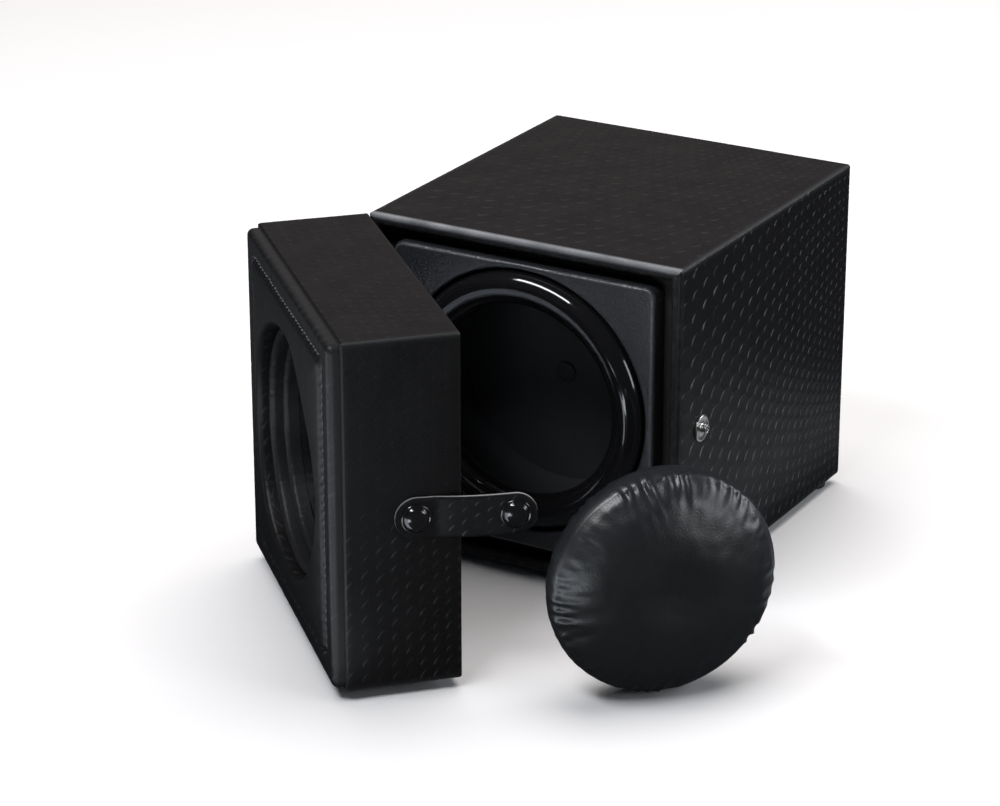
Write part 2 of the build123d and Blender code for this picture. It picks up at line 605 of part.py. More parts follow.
# ---------------------------------------------------------------- snap tab, drawn flat on the shut door

def tab_strip(y0, y1):
    return block(CASE_W / 2, CASE_W / 2 + TAB_T, y0, y1, TAB_Z - TAB_W / 2, TAB_Z + TAB_W / 2)


def tab_end(y):
    return side_disc(y, TAB_Z, TAB_END_R, CASE_W / 2, CASE_W / 2 + TAB_T)


def snap_cap(y):
    """A low domed cap on the tab's outer face."""
    outside = CASE_W / 2 + TAB_T
    cap = side_disc(y, TAB_Z, CAP_R, outside, outside + CAP_H)
    return fillet(cap.edges().sort_by(Axis.X)[-1], CAP_H - 0.5)


def build_tab():
    side = CASE_W / 2
    anchor = tab_strip(ANCHOR_Y, PIVOT_Y) + tab_end(ANCHOR_Y) - tab_strip(PIVOT_Y - TAB_CUT, STUD_Y)
    save("tab_anchor", swing(anchor - anchor_rivet()))
    save("tab_anchor_cap", swing(snap_cap(ANCHOR_Y)), swing(anchor_rivet()))
    bend = Pos(side + TAB_T / 2, PIVOT_Y, TAB_Z) * Cylinder(TAB_T / 2, TAB_W)
    flap = tab_strip(PIVOT_Y, STUD_Y) + tab_end(STUD_Y) + bend
    save("tab_flap", swing(flare(flap)))
    save("tab_snap_cap", swing(flare(snap_cap(STUD_Y))))
    socket = side_disc(STUD_Y, TAB_Z, SOCKET_R, side - SOCKET_T, side)
    socket = socket - side_disc(STUD_Y, TAB_Z, SOCKET_HOLE_R, side - SOCKET_T - 1, side + 1)
    save("tab_snap_socket", swing(flare(socket)))


# ---------------------------------------------------------------- cushion

def pillow_half(inset):
    """The upper half of the cushion's round body about local z, its faces moved in by a thickness."""
    rim, seam, half, crown = CUSHION_R - inset, SEAM_R - inset, SEAM_HALF - inset, CROWN - inset
    top = ThreePointArc((0, 0, crown), (seam * 0.55, 0, half + (crown - half) * 0.72), (seam, 0, half))
    belly = ThreePointArc((seam, 0, half), ((seam + 3 * rim) / 4, 0, half / 2), (rim, 0, 0))
    middle = Line((rim, 0, 0), (0, 0, 0))
    axis_line = Line((0, 0, 0), (0, 0, crown))
    return revolve(make_face(Wire([top, belly, middle, axis_line])), Axis.Z)


def build_cushion():
    place = Pos(CUSHION_X, CUSHION_Y, CUSHION_R) * Rot(0, 0, CUSHION_TURN) * Rot(90, 0, 0)
    above_seam = Pos(0, 0, SEAM_HALF + 20) * Box(200, 200, 40)
    foam_half = pillow_half(COVER_T)
    cover_half = pillow_half(0) - foam_half
    crown_half = cover_half & above_seam
    band_half = cover_half - above_seam
    save("cushion_foam", place * (foam_half + mirror(foam_half, Plane.XY)))
    save("cushion_round_covers", place * crown_half, place * mirror(crown_half, Plane.XY))
    save("cushion_side_band", place * (band_half + mirror(band_half, Plane.XY)))


def main():
    os.makedirs("parts", exist_ok=True)
    build_case_boards()
    build_case_leather()
    build_inner_boards()
    build_face()
    build_feet()
    build_hinges()
    build_stud()
    build_rotor()
    build_motor()
    build_back()
    build_inlet()
    build_switch()
    build_plate()
    build_control_board()
    build_door_frame()
    build_door_leather()
    build_door_lining()
    build_padded_panel()
    build_window()
    build_tab()
    build_cushion()


main()
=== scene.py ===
import json
import math
import random

import bpy
from mathutils import Matrix, Vector, noise


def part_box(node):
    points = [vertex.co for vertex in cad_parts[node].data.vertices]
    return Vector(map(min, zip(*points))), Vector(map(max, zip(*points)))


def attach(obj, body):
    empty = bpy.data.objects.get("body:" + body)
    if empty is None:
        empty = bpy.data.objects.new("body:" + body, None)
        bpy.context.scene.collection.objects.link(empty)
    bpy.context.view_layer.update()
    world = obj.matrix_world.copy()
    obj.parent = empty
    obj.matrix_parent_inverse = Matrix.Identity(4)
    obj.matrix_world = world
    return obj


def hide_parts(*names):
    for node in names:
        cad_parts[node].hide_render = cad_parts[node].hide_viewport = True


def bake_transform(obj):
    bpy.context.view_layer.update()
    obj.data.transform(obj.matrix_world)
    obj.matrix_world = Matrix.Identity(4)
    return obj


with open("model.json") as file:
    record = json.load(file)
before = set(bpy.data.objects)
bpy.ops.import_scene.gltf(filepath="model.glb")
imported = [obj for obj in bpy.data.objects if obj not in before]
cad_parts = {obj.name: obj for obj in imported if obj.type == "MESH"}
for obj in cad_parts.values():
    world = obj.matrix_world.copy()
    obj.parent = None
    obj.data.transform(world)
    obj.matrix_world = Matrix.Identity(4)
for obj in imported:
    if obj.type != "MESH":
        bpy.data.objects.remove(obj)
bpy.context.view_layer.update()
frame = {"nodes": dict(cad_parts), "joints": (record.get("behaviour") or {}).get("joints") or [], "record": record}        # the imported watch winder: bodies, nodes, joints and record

MM = 0.001
CASE_MIN, CASE_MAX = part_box("case_leather")
LEFT, FRONT, CASE_LOW = CASE_MIN
RIGHT, BACK, CASE_TOP = CASE_MAX
CASE_MID = (CASE_LOW + CASE_TOP) / 2
HALF_W, HALF_H = (RIGHT - LEFT) / 2, (CASE_TOP - CASE_LOW) / 2

# ---- sizes shared with the CAD part ----
WALL = 4.5 * MM              # width of the case's front edge
FOLD_DEPTH = 8.3 * MM        # how far the case's leather is folded in
EDGE_R = 1.2 * MM
SCALE_PITCH = 9.5 * MM       # width of the embossed scales at the case's front
DOOR_GAP, DOOR_DEPTH = 0.3 * MM, 45 * MM
PAD_T, PAD_INSET = 5 * MM, 1 * MM
WINDOW_R = 49 * MM
TAB_Z = CASE_LOW + 68.2 * MM
TAB_T, TAB_END_R = 1.8 * MM, 8 * MM
ANCHOR_Y, STUD_Y, PIVOT_Y = FRONT - 18 * MM, FRONT + 19.3 * MM, FRONT - 10 * MM
TAB_FLARE = math.radians(11)
FACE_HOLE_R, FACE_CORNER_R = 55 * MM, 4.5 * MM
HINGE_STARTS, HINGE_LEN = (20 * MM, 93 * MM), 26 * MM    # heights above the case's underside
HINGE_ROOM_R, HINGE_END_ROOM = 2.4 * MM, 0.3 * MM

# ---- sizes of the leather ----
SHEET_T = 0.4 * MM
SHELL_STEP = 1.5 * MM        # spacing of the shells' points
SCALES_BACK, SCALES_DOOR, SCALES_DOOR_BACK = 4.2 * MM, 6.2 * MM, 4.6 * MM
PANEL_COLUMNS = 720          # columns of points round a panel's hole
SCALES_TAB, SCALES_TAB_END = 5.2 * MM, 4.2 * MM
SEAM_R, SEAM_HALF = 43.5 * MM, 6 * MM    # the cushion's seams, nearer together than the CAD part's
BACK_COVER_TURN = 0.9        # the back cover's gathers, turned from the front's, in radians
CUSHION_R, CROWN = 45 * MM, 17.5 * MM
CUSHION_AT = Vector((94.6, -137.1, 45.0)) * MM
CUSHION_TURN = math.radians(49)

door_joint = next(j for j in frame["joints"] if j["name"] == "door_hinge")
HINGE = Vector(door_joint["pos_m"])
DOOR_OPEN = math.radians(-door_joint["range_deg"][0])


def turn_about(point, angle):
    """A turn about a vertical line through a point."""
    return Matrix.Translation(point) @ Matrix.Rotation(angle, 4, "Z") @ Matrix.Translation(-point)


OPEN_DOOR = turn_about(HINGE, -DOOR_OPEN)
TAB_BEND = Vector((RIGHT + TAB_T / 2, PIVOT_Y, TAB_Z))
FLARE_TAB = turn_about(TAB_BEND, -TAB_FLARE)
FORWARD, UP = Vector((0, -1, 0)), Vector((0, 0, 1))


# ---- shader helpers ----

class Shader:
    """A material and short ways to add nodes to it."""

    def __init__(self, name, **sockets):
        self.material = bpy.data.materials.new(name)
        self.material.use_nodes = True
        self.tree = self.material.node_tree
        self.surface = self.tree.nodes["Principled BSDF"]
        for socket, value in sockets.items():
            self.surface.inputs[socket.replace("_", " ")].default_value = value

    def add(self, kind, values=None, **settings):
        made = self.tree.nodes.new(kind)
        for key, value in settings.items():
            setattr(made, key, value)
        for key, value in (values or {}).items():
            if isinstance(value, bpy.types.NodeSocket):
                self.tree.links.new(value, made.inputs[key])
            else:
                made.inputs[key].default_value = value
        return made

    def math(self, operation, first, second=0.0, third=0.0):
        return self.add("ShaderNodeMath", {0: first, 1: second, 2: third}, operation=operation).outputs[0]

    def times(self, first, second):
        return self.math("MULTIPLY", first, second)

    def place(self):
        """Object coordinates in metres."""
        return self.add("ShaderNodeTexCoord").outputs["Object"]

    def noise(self, size, detail=3.0, stretch=(1, 1, 1), roughness=0.5):
        """Noise from 0 to 1 whose features are about `size` metres wide."""
        spread = self.add("ShaderNodeMapping", {"Vector": self.place(), "Scale": stretch}).outputs[0]
        values = {"Vector": spread, "Scale": 1 / size, "Detail": detail, "Roughness": roughness}
        return self.add("ShaderNodeTexNoise", values).outputs["Fac"]

    def cells(self, size, feature="F1"):
        """Voronoi distance, from 0 at a cell's centre to about 1 at its edge."""
        values = {"Vector": self.place(), "Scale": 1 / size}
        return self.add("ShaderNodeTexVoronoi", values, feature=feature).outputs["Distance"]

    def attribute(self, name):
        return self.add("ShaderNodeAttribute", attribute_name=name).outputs["Fac"]

    def spread(self, value, low, high, start=0.0, end=1.0):
        """Maps a value from one range to another, clamped."""
        values = {0: value, 1: start, 2: end, 3: low, 4: high}
        return self.add("ShaderNodeMapRange", values).outputs[0]

    def sum(self, *terms):
        """Adds (value, weight) pairs."""
        total = self.times(*terms[0])
        for value, weight in terms[1:]:
            total = self.math("MULTIPLY_ADD", value, weight, total)
        return total

    def tint(self, amount, colour_a, colour_b):
        """The base colour, mixed from two colours."""
        mixed = self.add("ShaderNodeMix", {0: amount}, data_type="RGBA")
        ends = [socket for socket in mixed.inputs if socket.type == "RGBA"]
        for end, colour in zip(ends, (colour_a, colour_b)):
            end.default_value = (*colour, 1)
        result = next(socket for socket in mixed.outputs if socket.type == "RGBA")
        self.tree.links.new(result, self.surface.inputs["Base Color"])

    def rough(self, value):
        self.tree.links.new(value, self.surface.inputs["Roughness"])

    def bump(self, height, depth, strength=1.0):
        """Bump whose full range is `depth` metres high."""
        made = self.add("ShaderNodeBump", {"Height": height, "Distance": depth, "Strength": strength})
        self.tree.links.new(made.outputs[0], self.surface.inputs["Normal"])


# ---- materials ----

def snake_scales(shader):
    """Overlapping round-headed scales in lattice coordinates from the UV map: (height, head line). The head
    line is kept on the upper half of each head only, as a painted highlight where light from above catches
    it.
    """
    lattice = shader.add("ShaderNodeUVMap", uv_map="scales").outputs[0]
    split = shader.add("ShaderNodeSeparateXYZ", {0: lattice})
    across, along = split.outputs[0], split.outputs[1]
    heights, heads = [], []
    for shift in (0.0, 0.5):
        place = shader.math("FRACT", shader.math("ADD", across, shift + 100.0))
        off = shader.math("SUBTRACT", place, 0.5)
        curve = shader.times(off, off)
        run = shader.math("FRACT", shader.sum((along, 0.5), (curve, -1.0), (shift + 100.0, 1.0)))
        heights.append(shader.math("SUBTRACT", 1.0, run))
        stroke = shader.spread(run, 1.0, 0.0, 0.03, 0.10)
        # painted highlight: only the upper half of each head line, which faces the light from above, is kept
        lit_upper_half = shader.spread(off, 0.0, 1.0, -0.08, 0.12)
        clear = shader.spread(off, 1.0, 0.0, 0.34, 0.46)
        heads.append(shader.times(stroke, shader.times(lit_upper_half, clear)))
    height = shader.math("MAXIMUM", *heights)
    head = shader.math("MAXIMUM", *heads)
    return shader.math("POWER", height, 2.0), head


def outer_leather():
    """Black leather pressed with snake scales. Painted highlights lighten the upper half of each scale's
    head line and the folds; the edges are also rubbed a little lighter.
    """
    shader = Shader("embossed_leather", Specular_IOR_Level=0.25)
    height, head = snake_scales(shader)
    emboss, wear_and_highlight = shader.attribute("emboss"), shader.attribute("wear_and_highlight")
    uneven = shader.noise(14 * MM, 4.0)
    pressed = shader.times(height, emboss)
    pores = shader.cells(0.55 * MM)
    grain = shader.noise(0.25 * MM, 2.0)
    shader.bump(shader.sum((pressed, 1.0), (pores, 0.14), (grain, 0.05), (uneven, 0.25)), 0.34 * MM)
    patchy = shader.spread(shader.noise(5 * MM, 3.0), 0.1, 1.0, 0.38, 0.62)
    # painted highlight: the scales' head lines are painted lighter, patchily
    line = shader.times(shader.times(head, emboss), patchy)
    # the attribute adds the rubbed-light edges and the painted highlights on the folds
    light = shader.math("MAXIMUM", shader.times(line, 0.36), wear_and_highlight)
    shader.tint(light, (0.0064, 0.0063, 0.0068), (0.34, 0.355, 0.38))
    shader.rough(shader.sum((uneven, 0.20), (pores, 0.08), (wear_and_highlight, -0.17), (line, -0.08), (0.28, 1.0)))
    return shader.material


def face_leather():
    """Fine pebbled leather on the raised face panel, with a painted highlight along the fold of its rolled
    edge.
    """
    shader = Shader("pebbled_leather", Specular_IOR_Level=0.9)
    wear_and_highlight = shader.attribute("wear_and_highlight")
    pebbles = shader.cells(0.95 * MM, "SMOOTH_F1")
    uneven = shader.noise(22 * MM, 3.0)
    grain = shader.noise(0.3 * MM, 2.0)
    shader.bump(shader.sum((pebbles, -0.9), (grain, 0.15)), 0.16 * MM)
    # painted highlight: the attribute lightens the fold of the panel's rolled edge
    light = shader.sum((pebbles, -0.25), (uneven, 0.05), (wear_and_highlight, 0.9), (0.24, 1.0))
    shader.tint(light, (0.009, 0.010, 0.012), (0.10, 0.106, 0.12))
    shader.rough(shader.sum((uneven, 0.12), (pebbles, 0.12), (wear_and_highlight, -0.1), (0.29, 1.0)))
    return shader.material


def cushion_leather():
    """Soft, finely grained leather of the cushion."""
    shader = Shader("cushion_leather", Specular_IOR_Level=0.95)
    grain = shader.cells(0.6 * MM, "SMOOTH_F1")
    creases = shader.noise(1.6 * MM, 3.0, (1, 1, 1.8))
    uneven = shader.noise(18 * MM, 4.0)
    shader.bump(shader.sum((grain, -0.45), (creases, 0.3), (uneven, 0.4)), 0.10 * MM)
    shader.tint(shader.sum((grain, 0.4), (uneven, 0.4)), (0.012, 0.013, 0.016), (0.006, 0.0065, 0.008))
    shader.rough(shader.sum((uneven, 0.16), (grain, 0.08), (0.27, 1.0)))
    return shader.material


def raw_edge():
    """The tab's cut leather edge, pale and fibrous."""
    shader = Shader("raw_leather_edge", Roughness=0.75, Specular_IOR_Level=0.3)
    fibres = shader.noise(0.5 * MM, 4.0, (1, 1, 3))
    shader.bump(fibres, 0.12 * MM)
    shader.tint(fibres, (0.12, 0.12, 0.125), (0.36, 0.36, 0.38))
    return shader.material


def black_board():
    """Black-stained fibreboard with short pressed fibres."""
    shader = Shader("black_board")
    fibres = shader.noise(1.2 * MM, 5.0, (1, 0.4, 1), 0.65)
    shader.bump(fibres, 0.08 * MM)
    shader.tint(fibres, (0.013, 0.012, 0.012), (0.034, 0.032, 0.030))
    shader.rough(shader.spread(fibres, 0.6, 0.85))
    return shader.material


def lining():
    """Short black nap inside the door."""
    shader = Shader("nap_lining", Roughness=0.95, Sheen_Weight=0.25, Sheen_Roughness=0.4)
    nap = shader.noise(0.35 * MM, 4.0)
    brushed = shader.noise(9 * MM, 3.0, (1, 1, 2))
    shader.bump(shader.sum((nap, 0.8), (brushed, 0.3)), 0.14 * MM)
    shader.tint(brushed, (0.008, 0.008, 0.010), (0.019, 0.019, 0.022))
    return shader.material


def gloss_black():
    """Deep gloss black plastic with faint moulding waves and wiping marks."""
    shader = Shader("gloss_black_plastic", Coat_Weight=0.6, Coat_Roughness=0.03)
    waves, wipes = shader.noise(30 * MM, 2.0), shader.noise(2.5 * MM, 4.0, (1, 1, 4))
    shader.bump(shader.sum((waves, 0.8), (wipes, 0.05)), 0.06 * MM)
    shader.tint(wipes, (0.005, 0.005, 0.006), (0.010, 0.010, 0.011))
    shader.rough(shader.spread(wipes, 0.05, 0.14))
    return shader.material


def matt_black():
    """Fine spark-textured black plastic."""
    shader = Shader("matt_black_plastic")
    spark, cloud = shader.noise(0.35 * MM, 2.0), shader.noise(25 * MM, 3.0)
    shader.bump(spark, 0.035 * MM)
    shader.tint(cloud, (0.018, 0.020, 0.023), (0.030, 0.033, 0.037))
    shader.rough(shader.sum((cloud, 0.12), (spark, 0.08), (0.42, 1.0)))
    return shader.material


def clear_pane():
    """The window's smoked acrylic, with faint dust."""
    shader = Shader("smoked_acrylic", Base_Color=(0.20, 0.21, 0.23, 1), IOR=1.49, Transmission_Weight=1.0)
    dust = shader.noise(1.5 * MM, 5.0)
    shader.rough(shader.spread(dust, 0.03, 0.05, 0.4, 0.8))
    shader.bump(shader.noise(60 * MM, 1.0), 0.1 * MM)
    return shader.material


def metal(name, dark, light, roughness, scratch=(1, 1, 1), grain=0.6 * MM):
    """A metal with fine drawn scratches."""
    shader = Shader(name, Metallic=1.0)
    scratches = shader.noise(grain, 4.0, scratch)
    shader.tint(scratches, dark, light)
    shader.bump(scratches, 0.02 * MM)
    shader.rough(shader.spread(scratches, roughness * 0.75, roughness * 1.35))
    return shader.material


def black_metal():
    """Gloss black enamel on the snap caps and screws."""
    shader = Shader("black_enamel", Coat_Weight=0.8, Coat_Roughness=0.04)
    marks = shader.noise(1.2 * MM, 4.0)
    shader.tint(marks, (0.005, 0.005, 0.006), (0.012, 0.012, 0.013))
    shader.rough(shader.spread(marks, 0.08, 0.2))
    shader.bump(shader.noise(5 * MM, 1.0), 0.01 * MM)
    return shader.material


def rubber():
    """Dusty black rubber of the feet."""
    shader = Shader("black_rubber", Roughness=0.8)
    dust = shader.noise(0.8 * MM, 4.0)
    shader.tint(dust, (0.012, 0.012, 0.012), (0.035, 0.034, 0.033))
    shader.bump(dust, 0.05 * MM)
    return shader.material


def foam():
    """Open-celled grey foam."""
    shader = Shader("grey_foam", Roughness=0.95)
    holes = shader.cells(0.7 * MM)
    shader.tint(holes, (0.10, 0.10, 0.105), (0.30, 0.30, 0.31))
    shader.bump(holes, 0.3 * MM)
    return shader.material


def plain_plastic(name, dark, light, roughness):
    """A moulded plastic with a slight cloud in its colour."""
    shader = Shader(name)
    cloud = shader.noise(3 * MM, 4.0)
    shader.tint(cloud, dark, light)
    shader.bump(shader.noise(0.4 * MM, 2.0), 0.02 * MM)
    shader.rough(shader.spread(cloud, roughness * 0.85, roughness * 1.2))
    return shader.material


def thread():
    """Twisted black sewing thread."""
    shader = Shader("black_thread", Roughness=0.6, Sheen_Weight=0.3)
    twist = shader.noise(0.3 * MM, 2.0, (1, 1, 2))
    shader.tint(twist, (0.02, 0.021, 0.024), (0.10, 0.10, 0.11))
    shader.bump(twist, 0.08 * MM)
    return shader.material


MATERIALS = {make.__name__: make() for make in (
    outer_leather, face_leather, cushion_leather, black_board, lining, gloss_black, matt_black, clear_pane,
    black_metal, rubber, foam)}
MATERIALS.update({
    "chrome": metal("bright_chrome", (0.66, 0.65, 0.62), (0.86, 0.85, 0.82), 0.26),
    "steel": metal("drawn_steel", (0.42, 0.42, 0.43), (0.60, 0.60, 0.61), 0.32, (1, 1, 6)),
    "bronze": metal("sintered_bronze", (0.42, 0.27, 0.12), (0.62, 0.42, 0.20), 0.4),
    "nylon": plain_plastic("natural_nylon", (0.70, 0.69, 0.63), (0.80, 0.79, 0.74), 0.45),
    "circuit_board": plain_plastic("solder_mask", (0.015, 0.10, 0.045), (0.03, 0.16, 0.08), 0.35),
})
RAW_EDGE, THREAD = raw_edge(), thread()


def dress_cad_nodes():
    """Gives each CAD node the material of its slot in the record."""
    for entry in frame["record"]["subparts"]:
        mesh = frame["nodes"][entry["node"]].data
        mesh.materials.clear()
        mesh.materials.append(MATERIALS[entry["material_slot"]])


# ---- mesh helpers ----

def heading(angle):
    return Vector((math.cos(angle), math.sin(angle)))


def round_circle(count):
    """Evenly spaced angles round a circle."""
    return [2 * math.pi * i / count for i in range(count)]


def grid_faces(rows, length, closed=False):
    """Quads between rows of `length` points; `closed` joins each row's ends."""
    last = length if closed else length - 1
    return [(row * length + i, row * length + (i + 1) % length,
             (row + 1) * length + (i + 1) % length, (row + 1) * length + i)
            for row in range(rows - 1) for i in range(last)]


def piece(name, points, faces, body, slot, replaced=(), inside=None, crease=50):
    """A smooth-shaded piece that rides on a body. Its faces look away from the point `inside`."""
    mesh = bpy.data.meshes.new(name)
    mesh.from_pydata([tuple(p) for p in points], [], faces)
    mesh.validate()
    if inside is not None:
        facing = sum((p.center - inside).dot(p.normal) * p.area for p in mesh.polygons)
        if facing < 0:
            mesh.flip_normals()
    mesh.shade_smooth()
    mesh.set_sharp_from_angle(angle=math.radians(crease))
    made = bpy.data.objects.new(name, mesh)
    bpy.context.scene.collection.objects.link(made)
    mesh.materials.append(MATERIALS[slot])
    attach(made, body)
    if replaced:
        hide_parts(*replaced)
    return made


def face_towards(made, direction):
    """Turns a piece's faces over if they look away from a direction on the whole."""
    if sum(face.normal.dot(direction) * face.area for face in made.data.polygons) < 0:
        made.data.flip_normals()


def move_mesh(made, matrix):
    made.data.transform(matrix)
    made.data.update()


def apply_modifiers(made):
    """Turns the piece's modifiers into mesh."""
    graph = bpy.context.evaluated_depsgraph_get()
    mesh = bpy.data.meshes.new_from_object(made.evaluated_get(graph), preserve_all_data_layers=True,
                                           depsgraph=graph)
    made.modifiers.clear()
    made.data = mesh


def thicken(made, depth):
    """Gives a sheet its thickness, inwards."""
    solid = made.modifiers.new("thickness", "SOLIDIFY")
    solid.thickness = depth
    solid.offset = -1.0
    apply_modifiers(made)


def set_attribute(made, name, values):
    layer = made.data.attributes.new(name, "FLOAT", "POINT")
    layer.data.foreach_set("value", values)


def smooth_step(value, low, high):
    t = min(max((value - low) / (high - low), 0.0), 1.0)
    return t * t * (3 - 2 * t)


def wave(point, size, seed=0.0):
    """Smooth noise from about -1 to 1 with features about `size` wide."""
    return noise.noise(point / size + Vector((seed, 2.3 * seed, 5.1 * seed)))


def arc(centre, radius, start, end, steps):
    """Points on an arc, without its first one, angles in degrees."""
    angles = [math.radians(start + (end - start) * i / steps) for i in range(1, steps + 1)]
    return [(centre[0] + radius * math.cos(a), centre[1] + radius * math.sin(a)) for a in angles]


def line(start, end, step):
    """Points on a straight run, without its first one."""
    run = Vector(end) - Vector(start)
    count = max(1, round(run.length / step))
    return [tuple(Vector(start) + run * i / count) for i in range(1, count + 1)]


def rect_ring(half_w, half_h, radius, step):
    """Points round an upright rounded rectangle, as many for any size near the case's."""
    across, up, bend = round(2 * HALF_W / step), round(2 * HALF_H / step), 4
    signs = ((1, 1), (-1, 1), (-1, -1), (1, -1))
    points = []
    for k in range(4):
        sx, sz = signs[k]
        nx, nz = signs[(k + 1) % 4]
        corner = Vector((sx * (half_w - radius), sz * (half_h - radius)))
        for i in range(bend):
            angle = math.radians(90 * k + 90 * i / bend)
            points.append((corner.x + radius * math.cos(angle), corner.y + radius * math.sin(angle)))
        out = radius * heading(math.radians(90 * (k + 1)))
        start = corner + out
        end = Vector((nx * (half_w - radius), nz * (half_h - radius))) + out
        count = across if k % 2 == 0 else up
        points += [tuple(start.lerp(end, i / count)) for i in range(count)]
    return points


def lathe(profile, count, ripple=None):
    """Points and quads of a (radius, height) outline turned about local Z.

    ripple(angle, radius, height) gives an offset in radius and height.
    """
    points = []
    for radius, height in profile:
        for angle in round_circle(count):
            dr, dh = ripple(angle, radius, height) if ripple else (0.0, 0.0)
            reach = radius + dr
            points.append(Vector((reach * math.cos(angle), reach * math.sin(angle), height + dh)))
    return points, grid_faces(len(profile), count, closed=True)


def mm_profile(*pairs):
    return [(radius * MM, height * MM) for radius, height in pairs]


def sheet_round_hole(columns, y, middle_z):
    """Points and quads of a panel round a hole, from columns of (place, height in front of y) pairs."""
    points = [Vector((spot.x, y - height, middle_z + spot.y))
              for column in columns for spot, height in column]
    count, length = len(columns), len(columns[0])
    last = (count - 1) * length
    faces = grid_faces(count, length)
    faces += [(last + k, last + k + 1, k + 1, k) for k in range(length - 1)]
    return points, faces


def facing(centre_x, centre_z):
    """From a turned piece's frame to the front: local Z comes forward of the front plane."""
    return Matrix.Translation((centre_x, FRONT, centre_z)) @ Matrix.Rotation(math.pi / 2, 4, "X")


def sideways(y, z, x):
    """From a turned piece's frame to the right-hand side: local Z points to +X from x."""
    return Matrix.Translation((x, y, z)) @ Matrix.Rotation(math.pi / 2, 4, "Y")


# ---- embossed leather shells ----

def scale_map(made, start_y, length, pitch_front, pitch_back):
    """Lattice coordinates for the scales, which shrink from the front of a shell to its back."""
    layer = made.data.uv_layers.new(name="scales")
    shrink = pitch_front - pitch_back
    for face in made.data.polygons:
        upright = abs(face.normal.x) > abs(face.normal.z)
        for corner in face.loop_indices:
            point = made.data.vertices[made.data.loops[corner].vertex_index].co
            depth = min(max(point.y - start_y, 0.0), length)
            pitch = pitch_front - shrink * depth / length
            across = (point.z - CASE_MID if upright else point.x) / pitch
            along = length / shrink * math.log(pitch_front / pitch)
            layer.data[corner].uv = (across, along)


def folded_shell(name, profile, body, replaced):
    """Leather wrapped round a box: a profile of (y, inset) swept round a rounded rectangle."""
    points = []
    for y, inset in profile:
        radius = max(EDGE_R - inset, 0.35 * MM)
        for x, z in rect_ring(HALF_W - inset, HALF_H - inset, radius, SHELL_STEP):
            points.append(Vector((x, y, CASE_MID + z)))
    count = len(points) // len(profile)
    faces = grid_faces(len(profile), count, closed=True)
    made = piece(name, points, faces, body, "outer_leather", (replaced,))
    side = made.data.polygons[len(profile) // 2 * count]
    if side.normal.dot(Vector((side.center.x, 0, side.center.z - CASE_MID))) < 0:
        made.data.flip_normals()
    return made


def edge_wear_and_highlight(point):
    """1 on the shell's long outer edges, falling off within a millimetre: where they are rubbed lighter and
    carry a painted highlight.
    """
    gap = min(abs(abs(point.x) - HALF_W) + abs(abs(point.z - CASE_MID) - HALF_H), 9 * MM)
    return 1 - smooth_step(gap, 0.2 * MM, 1.6 * MM)


def emboss_strength(point, normal):
    """How deeply the scales are pressed into the case: full on its sides, less on its top."""
    if abs(normal.y) > 0.5:
        return 0.0
    clear = smooth_step(point.y - FRONT, 1.5 * MM, 4 * MM)
    return clear * (0.16 if normal.z > 0.5 else 0.85)


def cut_hinge_room(made):
    """Cuts the notches for the two hinges' knuckles out of a shell's edge."""
    height = HINGE_LEN + 2 * HINGE_END_ROOM
    for start in HINGE_STARTS:
        low = CASE_LOW + start - HINGE_END_ROOM
        bpy.ops.mesh.primitive_cylinder_add(radius=HINGE_ROOM_R, depth=height, vertices=32,
                                            location=(HINGE.x, HINGE.y, low + height / 2))
        cutter = bpy.context.object
        cut = made.modifiers.new("hinge_room", "BOOLEAN")
        cut.object = cutter
        cut.solver = "EXACT"
        apply_modifiers(made)
        bpy.data.objects.remove(cutter)


def finish_shell(made, shape, scales, least_y=-math.inf):
    """Moves a shell's points along their normals, and gives it its scales, thickness and hinge notches.

    shape(point, normal) gives the depth of the scales, how far the leather is rubbed lighter and painted
    with highlights, and the move. No point passes least_y.
    """
    normals = [Vector(n.vector) for n in made.data.vertex_normals]
    emboss, wear_and_highlight = [], []
    for vertex, normal in zip(made.data.vertices, normals):
        point = vertex.co.copy()
        pressed, worn_and_lit, shift = shape(point, normal)
        emboss.append(pressed)
        wear_and_highlight.append(worn_and_lit)
        vertex.co = point + normal * shift
        vertex.co.y = max(vertex.co.y, least_y)
    set_attribute(made, "emboss", emboss)
    set_attribute(made, "wear_and_highlight", wear_and_highlight)
    scale_map(made, *scales)
    thicken(made, SHEET_T)
    cut_hinge_room(made)


def case_wear_and_highlight(point, inset, depth):
    """How far the case's leather is painted lighter: most along the fold over the top of its opening, a
    painted highlight where the fold faces the light above. The long outer edges are rubbed lighter with a
    painted highlight, and elsewhere the tone varies faintly at random.
    """
    # behind the front edge: the long outer edges, rubbed lighter with a painted highlight
    if depth > 2 * MM:
        return 0.16 * edge_wear_and_highlight(point)
    # painted highlight along the fold over the top of the opening, lit from above
    if min(inset) < 2 * MM and point.z > CASE_MID and inset[1] < inset[0]:
        fold = math.exp(-((inset[1] + depth - 1.1 * MM) / (0.7 * MM)) ** 2)
        return fold * (0.62 + 0.3 * wave(point, 9 * MM))
    return 0.015 + 0.05 * max(wave(point, 2.2 * MM), 0)


